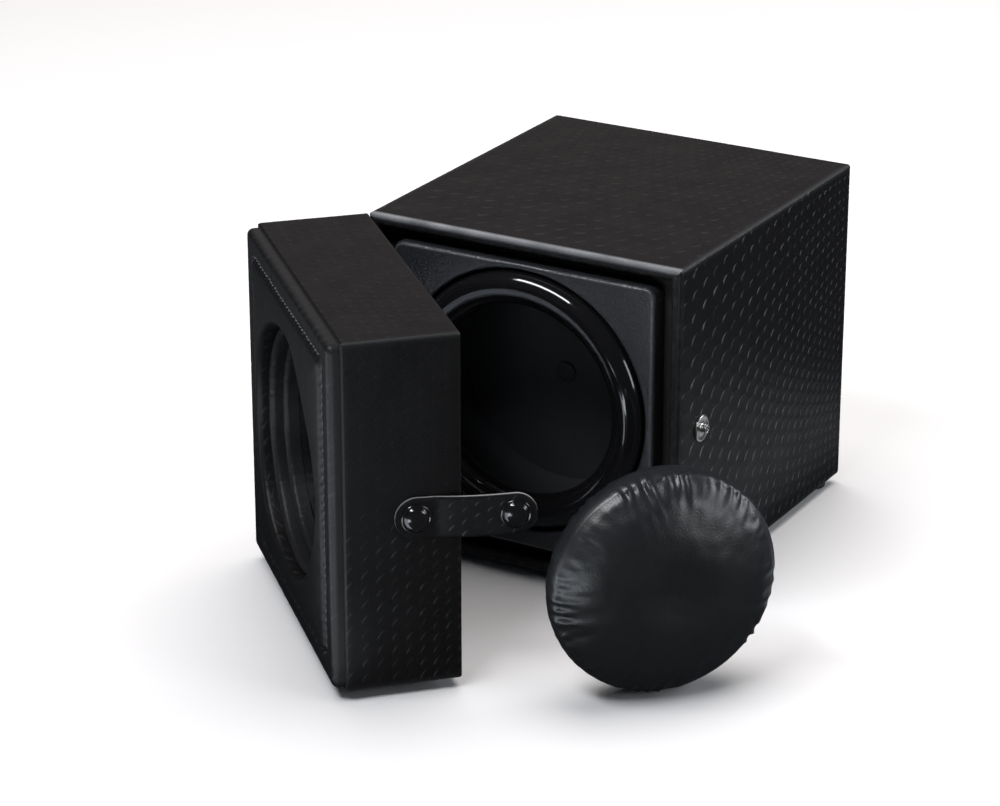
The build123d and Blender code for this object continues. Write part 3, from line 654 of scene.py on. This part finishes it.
def case_shift(point, inset, depth):
    """How far the case's leather stands out: pleats inside, bulges and puckers on the front edge."""
    near_corner = 1 - smooth_step(max(inset), 4 * MM, 13 * MM)
    if depth < 9 * MM and min(inset) > 3 * MM:  # the inner strip, pleated by hand
        run = point.z if inset[0] < inset[1] else point.x
        pleat = math.sin(2 * math.pi * (run / (5.2 * MM) + 0.6 * wave(point, 12 * MM)))
        shift = 0.28 * MM * max(0.0, pleat) ** 3 + 0.10 * MM * wave(point, 2.5 * MM)
        return shift + near_corner * 0.35 * MM * wave(point, 3 * MM, 3)
    if depth < 2 * MM:  # the front edge
        shift = 0.09 * MM * wave(point, 7 * MM) + 0.04 * MM * wave(point, 1.8 * MM, 1)
        shift += near_corner * 0.28 * MM * wave(point, 2.6 * MM, 3)
        if inset[0] < 5 * MM:  # the scales' rounded heads folded over the upright edges
            head = abs(math.sin(math.pi * (point.z - CASE_MID) / SCALE_PITCH)) ** 0.6
            shift += 0.35 * MM * (head - 0.7)
        return shift
    return 0.05 * MM * wave(point, 30 * MM) * smooth_step(depth, 2 * MM, 12 * MM)


def build_case_shell():
    """The case's leather, with its folds, puckered corners and pleated inner strip."""
    roll = 1.3 * MM
    inner = WALL - roll
    profile = [(FRONT + FOLD_DEPTH, WALL)]
    profile += line(profile[-1], (FRONT + roll, WALL), 0.8 * MM)
    profile += arc((FRONT + roll, inner), roll, 90, 180, 5)
    profile += line(profile[-1], (FRONT, roll), 0.7 * MM)
    profile += arc((FRONT + roll, roll), roll, 180, 270, 6)
    profile += line(profile[-1], (BACK - EDGE_R, 0), 2 * MM)
    profile += arc((BACK - EDGE_R, EDGE_R), EDGE_R, -90, 0, 5)
    profile += line(profile[-1], (BACK, WALL - 0.5 * MM), 1 * MM)

    def shape(point, normal):
        inset = HALF_W - abs(point.x), HALF_H - abs(point.z - CASE_MID)
        depth = point.y - FRONT
        spot = point, inset, depth
        return emboss_strength(point, normal), case_wear_and_highlight(*spot), case_shift(*spot)

    made = folded_shell("case_leather_shell", profile, "case", "case_leather")
    closed_door_room = FRONT - 0.1 * MM
    finish_shell(made, shape, (FRONT, BACK - FRONT, SCALE_PITCH, SCALES_BACK), closed_door_room)


def build_door_shell():
    """The leather round the door's frame, crisp at its folds."""
    front, back = FRONT - DOOR_DEPTH, FRONT - DOOR_GAP
    roll = 0.9 * MM
    profile = [(front, 3.2 * MM)]
    profile += line(profile[-1], (front, roll), 0.8 * MM)
    profile += arc((front + roll, roll), roll, 180, 270, 5)
    profile += line(profile[-1], (back - roll, 0), 1.5 * MM)
    profile += arc((back - roll, roll), roll, -90, 0, 5)
    profile += line(profile[-1], (back, 3.5 * MM), 0.9 * MM)
    profile += arc((back - 0.5 * MM, 3.5 * MM), 0.5 * MM, 0, 90, 3)

    def shape(point, normal):
        low_half = 1 - smooth_step(point.z, CASE_MID - 12 * MM, CASE_MID + 6 * MM)
        strength = 0.05 + 0.22 * low_half if abs(normal.x) > 0.7 else 0.12
        emboss = strength if abs(normal.y) < 0.5 else 0.0
        # the long outer edges are rubbed lighter and carry a painted highlight
        wear_and_highlight = 0.10 * edge_wear_and_highlight(point) if abs(normal.y) < 0.9 else 0.02
        edges = smooth_step(point.y - front, 0, 2 * MM) * smooth_step(back - point.y, 0, 2 * MM)
        shift = 0.06 * MM * wave(point, 22 * MM) * edges + 0.03 * MM * wave(point, 5 * MM, 2)
        return emboss, wear_and_highlight, shift

    made = folded_shell("door_leather_shell", profile, "door", "door_leather")
    finish_shell(made, shape, (front, back - front, SCALES_DOOR, SCALES_DOOR_BACK))
    move_mesh(made, OPEN_DOOR)


# ---- door panel and window ----

PAD_HALF_W, PAD_HALF_H = HALF_W - PAD_INSET, HALF_H - PAD_INSET
PAD_CORNER_R, PAD_ROLL, LIP_ROLL = 3 * MM, 2.6 * MM, 2.4 * MM
PAD_CROWN = 2.6 * MM
STITCH_LEFT, STITCH_RIGHT = -PAD_HALF_W + 10 * MM, PAD_HALF_W - 11 * MM
STITCH_LOW, STITCH_HIGH = -PAD_HALF_H + 9 * MM, PAD_HALF_H - 8.5 * MM
STITCH_PITCH = 3.6 * MM


def rect_distance(x, z, left, right, low, high, radius):
    """Distance inwards from a rounded rectangle's edge."""
    dx = abs(x - (left + right) / 2) - (right - left) / 2 + radius
    dz = abs(z - (low + high) / 2) - (high - low) / 2 + radius
    return radius - math.hypot(max(dx, 0), max(dz, 0)) - min(max(dx, dz), 0)


def rect_edge(angle, half_w, half_h, radius):
    """The point of a rounded rectangle's edge in a direction from its middle, and its outward normal."""
    ray = heading(angle)
    reach = min(half_w / max(abs(ray.x), 1e-9), half_h / max(abs(ray.y), 1e-9))
    point = ray * reach
    corner = Vector((math.copysign(half_w - radius, ray.x), math.copysign(half_h - radius, ray.y)))
    if abs(point.x) > half_w - radius and abs(point.y) > half_h - radius:
        along = ray.dot(corner)
        reach = along + math.sqrt(max(along * along - corner.length_squared + radius * radius, 0))
        point = ray * reach
        return point, (point - corner).normalized()
    if half_w / max(abs(ray.x), 1e-9) < half_h / max(abs(ray.y), 1e-9):
        return point, Vector((math.copysign(1, ray.x), 0))
    return point, Vector((0, math.copysign(1, ray.y)))


def stitch_line_distance(x, z):
    return rect_distance(x, z, STITCH_LEFT, STITCH_RIGHT, STITCH_LOW, STITCH_HIGH, 4 * MM)


def pad_height(x, z):
    """How far the padded panel stands in front of the door's front board."""
    inward = stitch_line_distance(x, z)
    crown = PAD_CROWN * (1 - math.exp(-max(inward, 0) / (9 * MM)))
    channel = 0.95 * MM * math.exp(-(inward / (1.5 * MM)) ** 2)
    run = x if abs(z) / PAD_HALF_H > abs(x) / PAD_HALF_W else z
    spot = Vector((x, 0, z))
    pull = 0.30 * MM * math.cos(2 * math.pi * run / STITCH_PITCH) * math.exp(-abs(inward) / (1.6 * MM))
    pucker = 0.30 * MM * wave(Vector((run, 0, 7 * MM)), 2.6 * MM) * math.exp(-abs(inward) / (3.6 * MM))
    slack = 0.22 * MM * wave(spot, 16 * MM, 4) * smooth_step(inward, 0, 8 * MM)
    return PAD_T + crown - channel - pull + pucker + slack


def pad_column(angle):
    """The padded panel from its outer wall to the window's wall: (place, height) pairs in one direction."""
    wall, roll, field, lip, hole = 4, 7, 44, 8, 4
    outer, normal = rect_edge(angle, PAD_HALF_W, PAD_HALF_H, PAD_CORNER_R)
    inner = heading(angle)
    ring = inner * WINDOW_R
    field_start, field_end = outer - normal * PAD_ROLL, ring + inner * LIP_ROLL
    edge_height, lip_height = pad_height(*field_start), pad_height(*field_end)
    rough = 0.12 * MM * wave(Vector((ring.x, 0, ring.y)), 2.2 * MM, 6)
    column = [(outer, (edge_height - PAD_ROLL) * k / wall) for k in range(wall)]
    for k in range(roll):
        bend = math.pi / 2 * k / roll
        spot = outer - normal * PAD_ROLL * (1 - math.cos(bend))
        column.append((spot, edge_height - PAD_ROLL + PAD_ROLL * math.sin(bend)))
    for k in range(field + 1):
        spot = field_start.lerp(field_end, k / field)
        column.append((spot, pad_height(*spot)))
    for k in range(1, lip + 1):
        bend = math.pi / 2 * k / lip
        spot = field_end - inner * (LIP_ROLL * math.sin(bend) + rough * math.sin(bend))
        column.append((spot, lip_height - LIP_ROLL * (1 - math.cos(bend))))
    column += [(ring - inner * rough, (lip_height - LIP_ROLL) * (1 - k / hole)) for k in range(1, hole + 1)]
    return column


def pad_wear(x, z):
    """How far the padded panel is rubbed light, along its outer edge and its seam."""
    gap = rect_distance(x, z, -PAD_HALF_W, PAD_HALF_W, -PAD_HALF_H, PAD_HALF_H, PAD_CORNER_R)
    seam = abs(stitch_line_distance(x, z))
    return 0.03 * (1 - smooth_step(gap, 0.2 * MM, 1.6 * MM)) + 0.02 * math.exp(-seam / (1.2 * MM))


def build_padded_panel():
    """The door's padded leather front: a crowned cushion round the window, with a rolled edge."""
    columns = [pad_column(angle) for angle in round_circle(PANEL_COLUMNS)]
    points, faces = sheet_round_hole(columns, FRONT - DOOR_DEPTH, CASE_MID)
    made = piece("door_padded_leather", points, faces, "door", "outer_leather", ("door_padded_panel",))
    face_towards(made, FORWARD)
    set_attribute(made, "emboss", [0.28] * len(points))
    set_attribute(made, "wear_and_highlight", [pad_wear(v.co.x, v.co.z - CASE_MID) for v in made.data.vertices])
    scale_map(made, FRONT - DOOR_DEPTH - PAD_T, DOOR_DEPTH, SCALES_DOOR, SCALES_DOOR_BACK)
    move_mesh(made, OPEN_DOOR)


def build_stitching():
    """The row of stitches sunk in the padded panel's channel."""
    corners = [Vector(place) for place in ((STITCH_LEFT, STITCH_HIGH), (STITCH_RIGHT, STITCH_HIGH),
                                           (STITCH_RIGHT, STITCH_LOW), (STITCH_LEFT, STITCH_LOW))]
    shape = [(-1.25, 0.05, -0.25), (-1.0, 0.24, 0.0), (-0.4, 0.30, 0.16), (0.4, 0.30, 0.16),
             (1.0, 0.24, 0.0), (1.25, 0.05, -0.25)]  # along the stitch: (reach, radius, rise)
    turns = 6
    quads = grid_faces(len(shape), turns, closed=True)
    last_ring = turns * (len(shape) - 1)
    caps = [tuple(range(turns)), tuple(last_ring + v for v in range(turns - 1, -1, -1))]
    points, faces = [], []
    for start, end in zip(corners, corners[1:] + corners[:1]):
        along = (end - start).normalized()
        across = Vector((-along.y, along.x))
        for k in range(1, int((end - start).length / STITCH_PITCH)):
            middle = start + along * STITCH_PITCH * k
            height_here = pad_height(*middle)
            faces += [tuple(len(points) + v for v in face) for face in quads + caps]
            for reach, radius, rise in shape:
                for angle in round_circle(turns):
                    flat = middle + along * reach * MM + across * radius * math.cos(angle) * MM
                    up = height_here + (rise + radius * math.sin(angle)) * MM
                    points.append(Vector((flat.x, FRONT - DOOR_DEPTH - up, CASE_MID + flat.y)))
    made = piece("door_panel_stitching", points, faces, "door", "outer_leather")
    made.data.materials[0] = THREAD
    move_mesh(made, OPEN_DOOR)


def build_window_well():
    """The leather that steps down from the panel to the pane, over two rolled lips."""
    top, step, pane = DOOR_DEPTH, DOOR_DEPTH - 4.5 * MM, DOOR_DEPTH - 8.5 * MM
    profile = [(49.3 * MM, top + 0.1 * MM)]
    profile += arc((46.8 * MM, top), 2.3 * MM, 15, 180, 14)
    profile += line(profile[-1], (44.5 * MM, step + 0.3 * MM), 0.9 * MM)
    profile += arc((42.7 * MM, step), 2.0 * MM, 15, 180, 14)
    profile += line(profile[-1], (40.7 * MM, pane + 0.1 * MM), 0.9 * MM)

    def ripple(angle, radius, height):
        spot = Vector((math.cos(angle), math.sin(angle), 0)) * radius
        crease = wave(spot + Vector((0, 0, height * 0.25)), 1.7 * MM, 2)
        return -0.10 * MM * crease, 0.14 * MM * crease + 0.12 * MM * wave(spot, 9 * MM, 5)

    points, faces = lathe(profile, 480, ripple)
    made = piece("window_rolled_lips", points, faces, "door", "outer_leather", ("window_beads",))
    face_towards(made, UP)
    set_attribute(made, "emboss", [0.0] * len(points))
    set_attribute(made, "wear_and_highlight", [0.02] * len(points))
    made.data.uv_layers.new(name="scales")
    move_mesh(made, OPEN_DOOR @ facing(0, CASE_MID))


# ---- face panel ----

FACE_WALL, FACE_BEND, FACE_FIELD, FACE_LIP = 4, 9, 14, 6     # points in each part of a column


def face_column(angle, half_w, half_h, hole_up, thick):
    """The face panel from its outer wall to the hole's wall: (place, height) pairs in one direction."""
    outer, normal = rect_edge(angle, half_w, half_h, FACE_CORNER_R)
    inner = heading(angle)
    ring = inner * FACE_HOLE_R + Vector((0, hole_up))
    spare = max((outer - ring).dot(normal) - 0.3 * MM, 1.2 * MM)
    edge, lip = min(1.9 * MM, spare * 0.55), min(1.2 * MM, spare * 0.4)
    slack = 0.10 * MM * wave(Vector((outer.x, 0, outer.y)), 11 * MM, 2)
    column = [(outer, (thick - edge) * k / FACE_WALL) for k in range(FACE_WALL)]
    for k in range(FACE_BEND):
        bend = math.pi / 2 * k / (FACE_BEND - 1)
        height = thick - edge * (1 - math.sin(bend)) + slack
        column.append((outer - normal * edge * (1 - math.cos(bend)), height))
    start, end = outer - normal * edge, ring + inner * lip
    for k in range(1, FACE_FIELD + 1):
        share = k / FACE_FIELD
        spot = start.lerp(end, share)
        puff = 0.16 * MM * math.sin(math.pi * share) * smooth_step((outer - ring).length, 4 * MM, 16 * MM)
        uneven = 0.05 * MM * wave(Vector((*spot, 0)), 15 * MM)
        column.append((spot, thick + slack * (1 - share) + puff + uneven))
    for k in range(1, FACE_LIP + 1):
        bend = math.pi / 2 * k / FACE_LIP
        column.append((end - inner * lip * math.sin(bend), thick - lip * (1 - math.cos(bend))))
    column.append((ring, thick * 0.5))
    return column


def build_face_panel():
    """The raised face panel's leather, drawn over its board's rounded edges and into the round hole."""
    low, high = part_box("face_leather")
    rotor_low, rotor_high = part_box("rotor_bezel")
    half_w, half_h, thick = (high.x - low.x) / 2, (high.z - low.z) / 2, high.y - low.y
    hole_up = (rotor_low.z + rotor_high.z) / 2 - (low.z + high.z) / 2
    columns = [face_column(angle, half_w, half_h, hole_up, thick) for angle in round_circle(PANEL_COLUMNS)]
    points, faces = sheet_round_hole(columns, high.y, (low.z + high.z) / 2)
    made = piece("face_drawn_leather", points, faces, "case", "face_leather", ("face_leather",))
    fold = FACE_WALL + FACE_BEND * 0.6  # the point of a column where the painted highlight on the rolled edge is strongest
    column_highlight = [0.7 * math.exp(-((k - fold) / 1.2) ** 2) for k in range(len(columns[0]))]
    set_attribute(made, "wear_and_highlight", column_highlight * PANEL_COLUMNS)
    face_towards(made, FORWARD)


# ---- snap tab and snaps ----

def build_tab():
    """The leather tab with its pale cut edge, bent a little away from the door beyond its anchor."""
    start, end = ANCHOR_Y - TAB_END_R, STUD_Y + TAB_END_R
    stations = [start + TAB_END_R * (1 - math.cos(math.pi / 2 * k / 12)) for k in range(13)]
    stations += [start + TAB_END_R + (end - start - 2 * TAB_END_R) * k / 40 for k in range(1, 41)]
    stations += [end - TAB_END_R * (1 - math.sin(math.pi / 2 * k / 12)) for k in range(1, 13)]
    flat_steps, soft = 16, 0.4 * MM
    points = []
    for y in stations:
        to_end = min(y - start, end - y, TAB_END_R)
        half = math.sqrt(max(TAB_END_R ** 2 - (TAB_END_R - to_end) ** 2, 0.0)) + 0.15 * MM
        share = smooth_step(y, PIVOT_Y - 4 * MM, PIVOT_Y + 4 * MM)
        between = (y - ANCHOR_Y) / (STUD_Y - ANCHOR_Y)
        sag = 0.7 * MM * math.sin(math.pi * min(max(between, 0.0), 1.0))
        flat = [(half - soft) * (1 - 2 * k / flat_steps) for k in range(flat_steps + 1)]
        outline = [(TAB_T, z) for z in flat]
        outline += [(TAB_T - soft, -half), (TAB_T / 2, -half - 0.05 * MM), (soft, -half)]
        outline += [(0.0, -z) for z in flat]
        outline += [(soft, half), (TAB_T / 2, half + 0.05 * MM), (TAB_T - soft, half)]
        turn = turn_about(TAB_BEND, -TAB_FLARE * share)
        for out, z in outline:
            spot = Vector((RIGHT + out, y, TAB_Z + z - sag))
            spot.x += 0.07 * MM * wave(spot, 7 * MM) * min(share * 2, 1)
            points.append(turn @ spot)
    length = len(points) // len(stations)
    faces = grid_faces(len(stations), length, closed=True)
    faces += [tuple(range(length)), tuple(range(len(points) - 1, len(points) - length - 1, -1))]
    made = piece("snap_tab_leather", points, faces, "door", "outer_leather", ("tab_anchor", "tab_flap"),
                 inside=TAB_BEND)
    made.data.materials.append(RAW_EDGE)
    cut_edge = (flat_steps + 1, flat_steps + 2, length - 3, length - 2)
    for face in made.data.polygons[:-2]:
        face.material_index = 1 if face.index % length in cut_edge else 0
    pressed = (PIVOT_Y - 2 * MM, PIVOT_Y + 6 * MM)  # the scales fade in over this stretch
    set_attribute(made, "emboss", [0.5 * smooth_step(p.y, *pressed) for p in points])
    set_attribute(made, "wear_and_highlight", [0.0] * len(points))
    scale_map(made, start, end - start, SCALES_TAB, SCALES_TAB_END)
    move_mesh(made, OPEN_DOOR)
    made.parent = None
    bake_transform(made)


def build_snaps():
    """Two black domed caps with rolled rims, and the chrome stud on the case."""
    cap = mm_profile((5.3, -0.3), (5.65, 0.0), (5.8, 0.3), (5.65, 0.62), (5.3, 0.72), (5.0, 0.6),
                     (4.85, 0.55), (4.7, 0.75), (4.45, 1.2), (4.0, 1.62), (3.3, 1.92), (2.3, 2.1),
                     (1.2, 2.18), (0.02, 2.2))
    rivet_head = mm_profile((0.02, -5.4), (3.4, -5.3), (4.3, -5.0), (4.5, -4.75), (4.5, -4.6))
    outside = RIGHT + TAB_T
    for name, body, y, turn, node, profiles in (
            ("anchor_snap_cap", "door", ANCHOR_Y, OPEN_DOOR, "tab_anchor_cap", (cap, rivet_head)),
            ("loose_snap_cap", "tab", STUD_Y, OPEN_DOOR @ FLARE_TAB, "tab_snap_cap", (cap,))):
        points, faces = [], []
        for profile in profiles:
            more, quads = lathe(profile, 64)
            faces += [tuple(len(points) + v for v in quad) for quad in quads]
            points += more
        made = piece(name, points, faces, body, "black_metal", (node,), inside=-2 * MM * UP)
        move_mesh(made, turn @ sideways(y, TAB_Z, outside))
    stud = mm_profile((5.3, 0.0), (5.5, 0.15), (5.45, 0.5), (5.1, 0.75), (4.6, 0.72), (4.1, 0.5),
                      (3.2, 0.42), (2.6, 0.45), (2.0, 0.65), (1.65, 1.1), (1.65, 1.6), (1.9, 1.95),
                      (2.0, 2.3), (1.9, 2.65), (1.6, 2.8), (1.25, 2.78), (1.0, 2.6), (0.95, 2.0),
                      (0.9, 1.1), (0.02, 1.05))
    points, faces = lathe(stud, 72)
    made = piece("chrome_snap_stud", points, faces, "case", "chrome", ("snap_stud",))
    face_towards(made, UP)
    move_mesh(made, sideways(STUD_Y, TAB_Z, RIGHT))


# ---- cushion ----

CUSHION_PLACE = (Matrix.Translation(CUSHION_AT) @ Matrix.Rotation(CUSHION_TURN, 4, "Z")
                 @ Matrix.Rotation(math.pi / 2, 4, "X"))


def gather_list():
    """Gathers along the seam: (angle, width, length, depth), bunched where it was pulled in by hand."""
    draw = random.Random(7)
    bunches = ((98, 17, 9, 1.5), (55, 12, 4, 0.5), (180, 11, 4, 0.8), (200, 5, 2, 0.7), (262, 15, 6, 0.9),
               (325, 5, 2, 1.2), (350, 10, 3, 0.5), (225, 12, 3, 0.4))  # (middle, spread, count, strength)
    gathers = []
    for middle, spread, count, strength in bunches:
        for k in range(count):
            angle = middle + spread * (2 * (k + 0.5) / count - 1) + draw.uniform(-1.2, 1.2)
            gathers.append((math.radians(angle), draw.uniform(1.0, 1.7) * MM, draw.uniform(3.5, 8) * MM,
                            strength * draw.uniform(0.6, 1.25) * MM))
    return gathers


GATHERS = gather_list()


def gather_depth(angle, from_seam, side):
    """How far the gathers pull the leather in at an angle and a distance from one side's seam."""
    depth = 0.0
    if side < 0:
        angle += BACK_COVER_TURN
    for centre, width, length, deep in GATHERS:
        off = (angle - centre + math.pi) % (2 * math.pi) - math.pi
        across = off * SEAM_R / (width * (1 + 0.6 * from_seam / length))
        if abs(across) < 3.5:
            fade = math.exp(-((from_seam / length) ** 1.5))
            bulges = 0.4 * math.exp(-((abs(across) - 1.7) / 0.8) ** 2)
            depth += deep * fade * (math.exp(-across * across) - bulges)
    return depth


def cover_points(side, rings, count):
    """A smooth domed cover: rings of points from near its middle to the seam."""
    points = []
    for k in range(rings + 1):
        radius = SEAM_R * (0.02 + 0.98 * (k / rings) ** 0.8)
        rise = 1 - (radius / SEAM_R) ** 2.1
        for angle in round_circle(count):
            height = SEAM_HALF + (CROWN - 1 * MM - SEAM_HALF) * rise
            points.append(Vector((radius * math.cos(angle), radius * math.sin(angle), side * height)))
    return points


def inflate(made, rim, cap):
    """Blows a cover up by cloth simulation with its rim held still, and keeps the result as its mesh."""
    scene = bpy.context.scene
    held = made.vertex_groups.new(name="rim")
    held.add(rim, 1.0, "REPLACE")
    cloth = made.modifiers.new("cloth", "CLOTH")
    for key, value in (("quality", 6), ("mass", 0.05), ("tension_stiffness", 5),
                       ("compression_stiffness", 5), ("bending_stiffness", 0.01), ("use_pressure", True),
                       ("uniform_pressure_force", 25), ("shrink_min", -0.03), ("vertex_group_mass", "rim")):
        setattr(cloth.settings, key, value)
    cloth.settings.effector_weights.gravity = 0
    cloth.point_cache.frame_start, cloth.point_cache.frame_end = 1, 20
    for frame_number in range(1, 21):
        scene.frame_set(frame_number)
    graph = bpy.context.evaluated_depsgraph_get()
    blown = [v.co.copy() for v in made.evaluated_get(graph).data.vertices]
    made.modifiers.clear()
    scene.frame_set(1)
    for vertex, target in zip(made.data.vertices, blown):
        step = target - vertex.co
        vertex.co = vertex.co + (step if step.length < cap else step * (cap / step.length))


def rest_on_floor(made):
    """Flattens the cushion slightly where it stands."""
    for vertex in made.data.vertices:
        if vertex.co.z < 0.6 * MM:
            vertex.co.z = 0.15 * MM + 0.1 * max(vertex.co.z, -1 * MM)


def even_middle(made, rings, count):
    """Evens out the closely spaced points round a cover's middle."""
    for k in range(rings):
        ring = made.data.vertices[k * count:(k + 1) * count]
        mean = sum(v.co.z for v in ring) / count
        share = smooth_step(k / rings, 0.15, 0.45)
        for vertex in ring:
            vertex.co.z = mean + (vertex.co.z - mean) * share


def gathered(spot, side):
    """A cover's point after the gathers, the sunk seam and the filling's lumps."""
    radius, angle = math.hypot(spot.x, spot.y), math.atan2(spot.y, spot.x)
    from_seam = max(SEAM_R - radius, 0.0)
    pulled = gather_depth(angle, from_seam, side)
    lumps = 0.3 * MM * wave(spot, 14 * MM, 8 + side) * smooth_step(from_seam, 0, 9 * MM)
    lumps += 0.12 * MM * wave(spot, 5 * MM, 3) * smooth_step(from_seam, 0, 5 * MM)
    sunk = 1.0 * MM * math.exp(-(from_seam / (1.2 * MM)) ** 2)
    drawn = 1 - 0.5 * pulled * math.exp(-from_seam / (3 * MM)) / max(radius, 1 * MM)
    return Vector((spot.x * drawn, spot.y * drawn, spot.z + side * (lumps - pulled - sunk)))


def place_cushion_piece(made):
    move_mesh(made, CUSHION_PLACE)
    rest_on_floor(made)


def build_cover(side, name, replaced):
    """One round cover of the cushion: side is 1 for the front one and -1 for the back one."""
    rings, count = 14, 120
    faces = grid_faces(rings + 1, count, closed=True)
    faces.append(tuple(range(count)))
    made = piece(name, cover_points(side, rings, count), faces, "cushion", "cushion_leather", replaced,
                 inside=Vector(), crease=70)
    inflate(made, list(range(rings * count, (rings + 1) * count)), 3 * MM)
    even_middle(made, rings, count)
    smooth = made.modifiers.new("smooth", "SUBSURF")
    smooth.levels = smooth.render_levels = 2
    apply_modifiers(made)
    for vertex in made.data.vertices:
        vertex.co = gathered(vertex.co, side)
    place_cushion_piece(made)


def build_side_band():
    """The cushion's side band, drawn in at both seams."""
    rows, turns, band = 24, 480, []
    for k in range(rows + 1):
        lean = -1 + 2 * k / rows
        for angle in round_circle(turns):
            from_seam = (1 - abs(lean)) * SEAM_HALF
            radius = SEAM_R - 0.3 * MM + (CUSHION_R - SEAM_R) * (1 - abs(lean) ** 2.3)
            radius -= 0.8 * MM * math.exp(-(from_seam / (0.9 * MM)) ** 2)
            radius -= 0.6 * gather_depth(angle, from_seam, lean)
            spot = Vector((radius * math.cos(angle), radius * math.sin(angle), lean * SEAM_HALF))
            band.append(spot * (1 + 0.004 * wave(spot, 12 * MM, 3)))
    made = piece("cushion_side_leather", band, grid_faces(rows + 1, turns, closed=True), "cushion",
                 "cushion_leather", ("cushion_side_band",), inside=Vector(), crease=70)
    place_cushion_piece(made)


def build_cushion():
    """Two round covers gathered into a side band, with a sunk seam at each side."""
    build_cover(1, "cushion_front_cover", ("cushion_round_covers", "cushion_foam"))
    build_cover(-1, "cushion_back_cover", ())
    build_side_band()


# ---- small rotor details ----

def build_hub_cap():
    """The round cap over the shaft's end in the cup's floor, and a moulded mark below it."""
    low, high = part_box("hub_cap")
    centre_z, floor_y = (low.z + high.z) / 2, high.y
    cap = mm_profile((4.5, 0.0), (4.5, 0.5), (4.25, 0.78), (3.7, 0.8), (3.5, 0.62), (3.2, 0.6), (2.9, 0.78),
                     (1.2, 0.85), (0.02, 0.85))
    points, faces = lathe(cap, 64)
    made = piece("hub_cap_moulding", points, faces, "rotor", "matt_black", ("hub_cap",), inside=-1 * MM * UP)
    forward = Matrix.Rotation(math.pi / 2, 4, "X")
    move_mesh(made, Matrix.Translation((0, floor_y, centre_z)) @ forward)
    mark = mm_profile((4.4, -0.05), (4.3, 0.16), (3.9, 0.16), (3.8, -0.05))
    points, faces = lathe(mark, 64)
    ring = piece("cup_moulded_mark", points, faces, "rotor", "matt_black", inside=-3 * MM * UP)
    move_mesh(ring, Matrix.Translation((0, floor_y, centre_z - 27 * MM)) @ forward)


# ---- studio ----

AZIMUTH, ELEVATION, LENS = math.radians(30.07), math.radians(21.9), 123.15
CAMERA_TARGET, CAMERA_DISTANCE = Vector((-0.0525, -0.0024, 0.0390)), 1.45


def build_camera():
    """A long lens at the front, to the right and above."""
    level = Vector((-math.sin(AZIMUTH), math.cos(AZIMUTH), 0))
    forward = level * math.cos(ELEVATION) - UP * math.sin(ELEVATION)
    right = Vector((math.cos(AZIMUTH), math.sin(AZIMUTH), 0))
    up = right.cross(forward)
    data = bpy.data.cameras.new("camera")
    data.lens, data.sensor_width = LENS, 36
    camera = bpy.data.objects.new("camera", data)
    turn = Matrix((right, up, -forward)).transposed()
    camera.matrix_world = Matrix.Translation(CAMERA_TARGET - forward * CAMERA_DISTANCE) @ turn.to_4x4()
    bpy.context.scene.collection.objects.link(camera)
    bpy.context.scene.camera = camera


def softbox(name, place, aim, width, height, power, colour):
    data = bpy.data.lights.new(name, "AREA")
    data.shape, data.size, data.size_y = "RECTANGLE", width, height
    data.energy, data.color = power, colour
    light = bpy.data.objects.new(name, data)
    light.location = place
    light.rotation_euler = (Vector(aim) - Vector(place)).to_track_quat("-Z", "Y").to_euler()
    bpy.context.scene.collection.objects.link(light)
    return light


def build_studio():
    """A pale floor, soft panels round the object, and cards that stand in for the floor's reflection."""
    size = 6.0
    mesh = bpy.data.meshes.new("floor")
    corners = [(-size, -size, 0), (size, -size, 0), (size, size, 0), (-size, size, 0)]
    mesh.from_pydata(corners, [], [(0, 1, 2, 3)])
    floor = bpy.data.objects.new("floor", mesh)
    bpy.context.scene.collection.objects.link(floor)
    pale = Shader("pale_floor", Base_Color=(0.86, 0.86, 0.87, 1), Roughness=0.9, Specular_IOR_Level=0.0)
    mesh.materials.append(pale.material)
    floor.visible_glossy = False
    world = bpy.data.worlds.new("studio")
    world.use_nodes = True
    sky = world.node_tree.nodes["Background"].inputs
    sky[0].default_value, sky[1].default_value = (0.80, 0.88, 1.0, 1), 0.03
    bpy.context.scene.world = world
    bpy.context.scene.view_settings.view_transform = "Standard"
    middle = (0, -0.05, 0.07)
    fill = softbox("overhead", (-0.1, 0.4, 1.7), middle, 1.9, 1.7, 37, (1.0, 0.955, 0.93))
    fill.visible_glossy = False
    softbox("front_strip", (-0.24, -0.72, 1.15), middle, 0.85, 0.2, 9.5, (0.95, 0.97, 1.0))
    softbox("right_panel", (1.45, -0.05, 0.46), middle, 0.55, 0.5, 3.6, (0.92, 0.96, 1.0))
    softbox("right_back_panel", (1.05, 0.95, 0.62), middle, 0.8, 0.6, 6.5, (0.93, 0.96, 1.0))
    softbox("back_left_panel", (-0.85, 1.3, 0.62), middle, 1.2, 0.8, 0.75, (1.0, 0.86, 0.80))
    for name, x, y, width, depth, power in (("front_floor_card", -0.36, -0.51, 0.80, 0.58, 3.1),
                                            ("cushion_floor_card", 0.09, -0.41, 0.10, 0.18, 0.27),
                                            ("side_floor_card", 0.12, 0.05, 0.07, 0.22, 0.018),
                                            ("left_floor_card", -0.62, 0.05, 0.8, 0.5, 0.09)):
        card = softbox(name, (x, y, 2 * MM), (x, y, 1), width, depth, power, (0.86, 0.93, 1.0))
        card.visible_diffuse = False
        card.visible_camera = False


def main():
    dress_cad_nodes()
    build_camera()
    build_studio()
    build_case_shell()
    build_door_shell()
    build_padded_panel()
    build_stitching()
    build_window_well()
    build_face_panel()
    build_tab()
    build_snaps()
    build_cushion()
    build_hub_cap()


main()
bpy.context.view_layer.update()
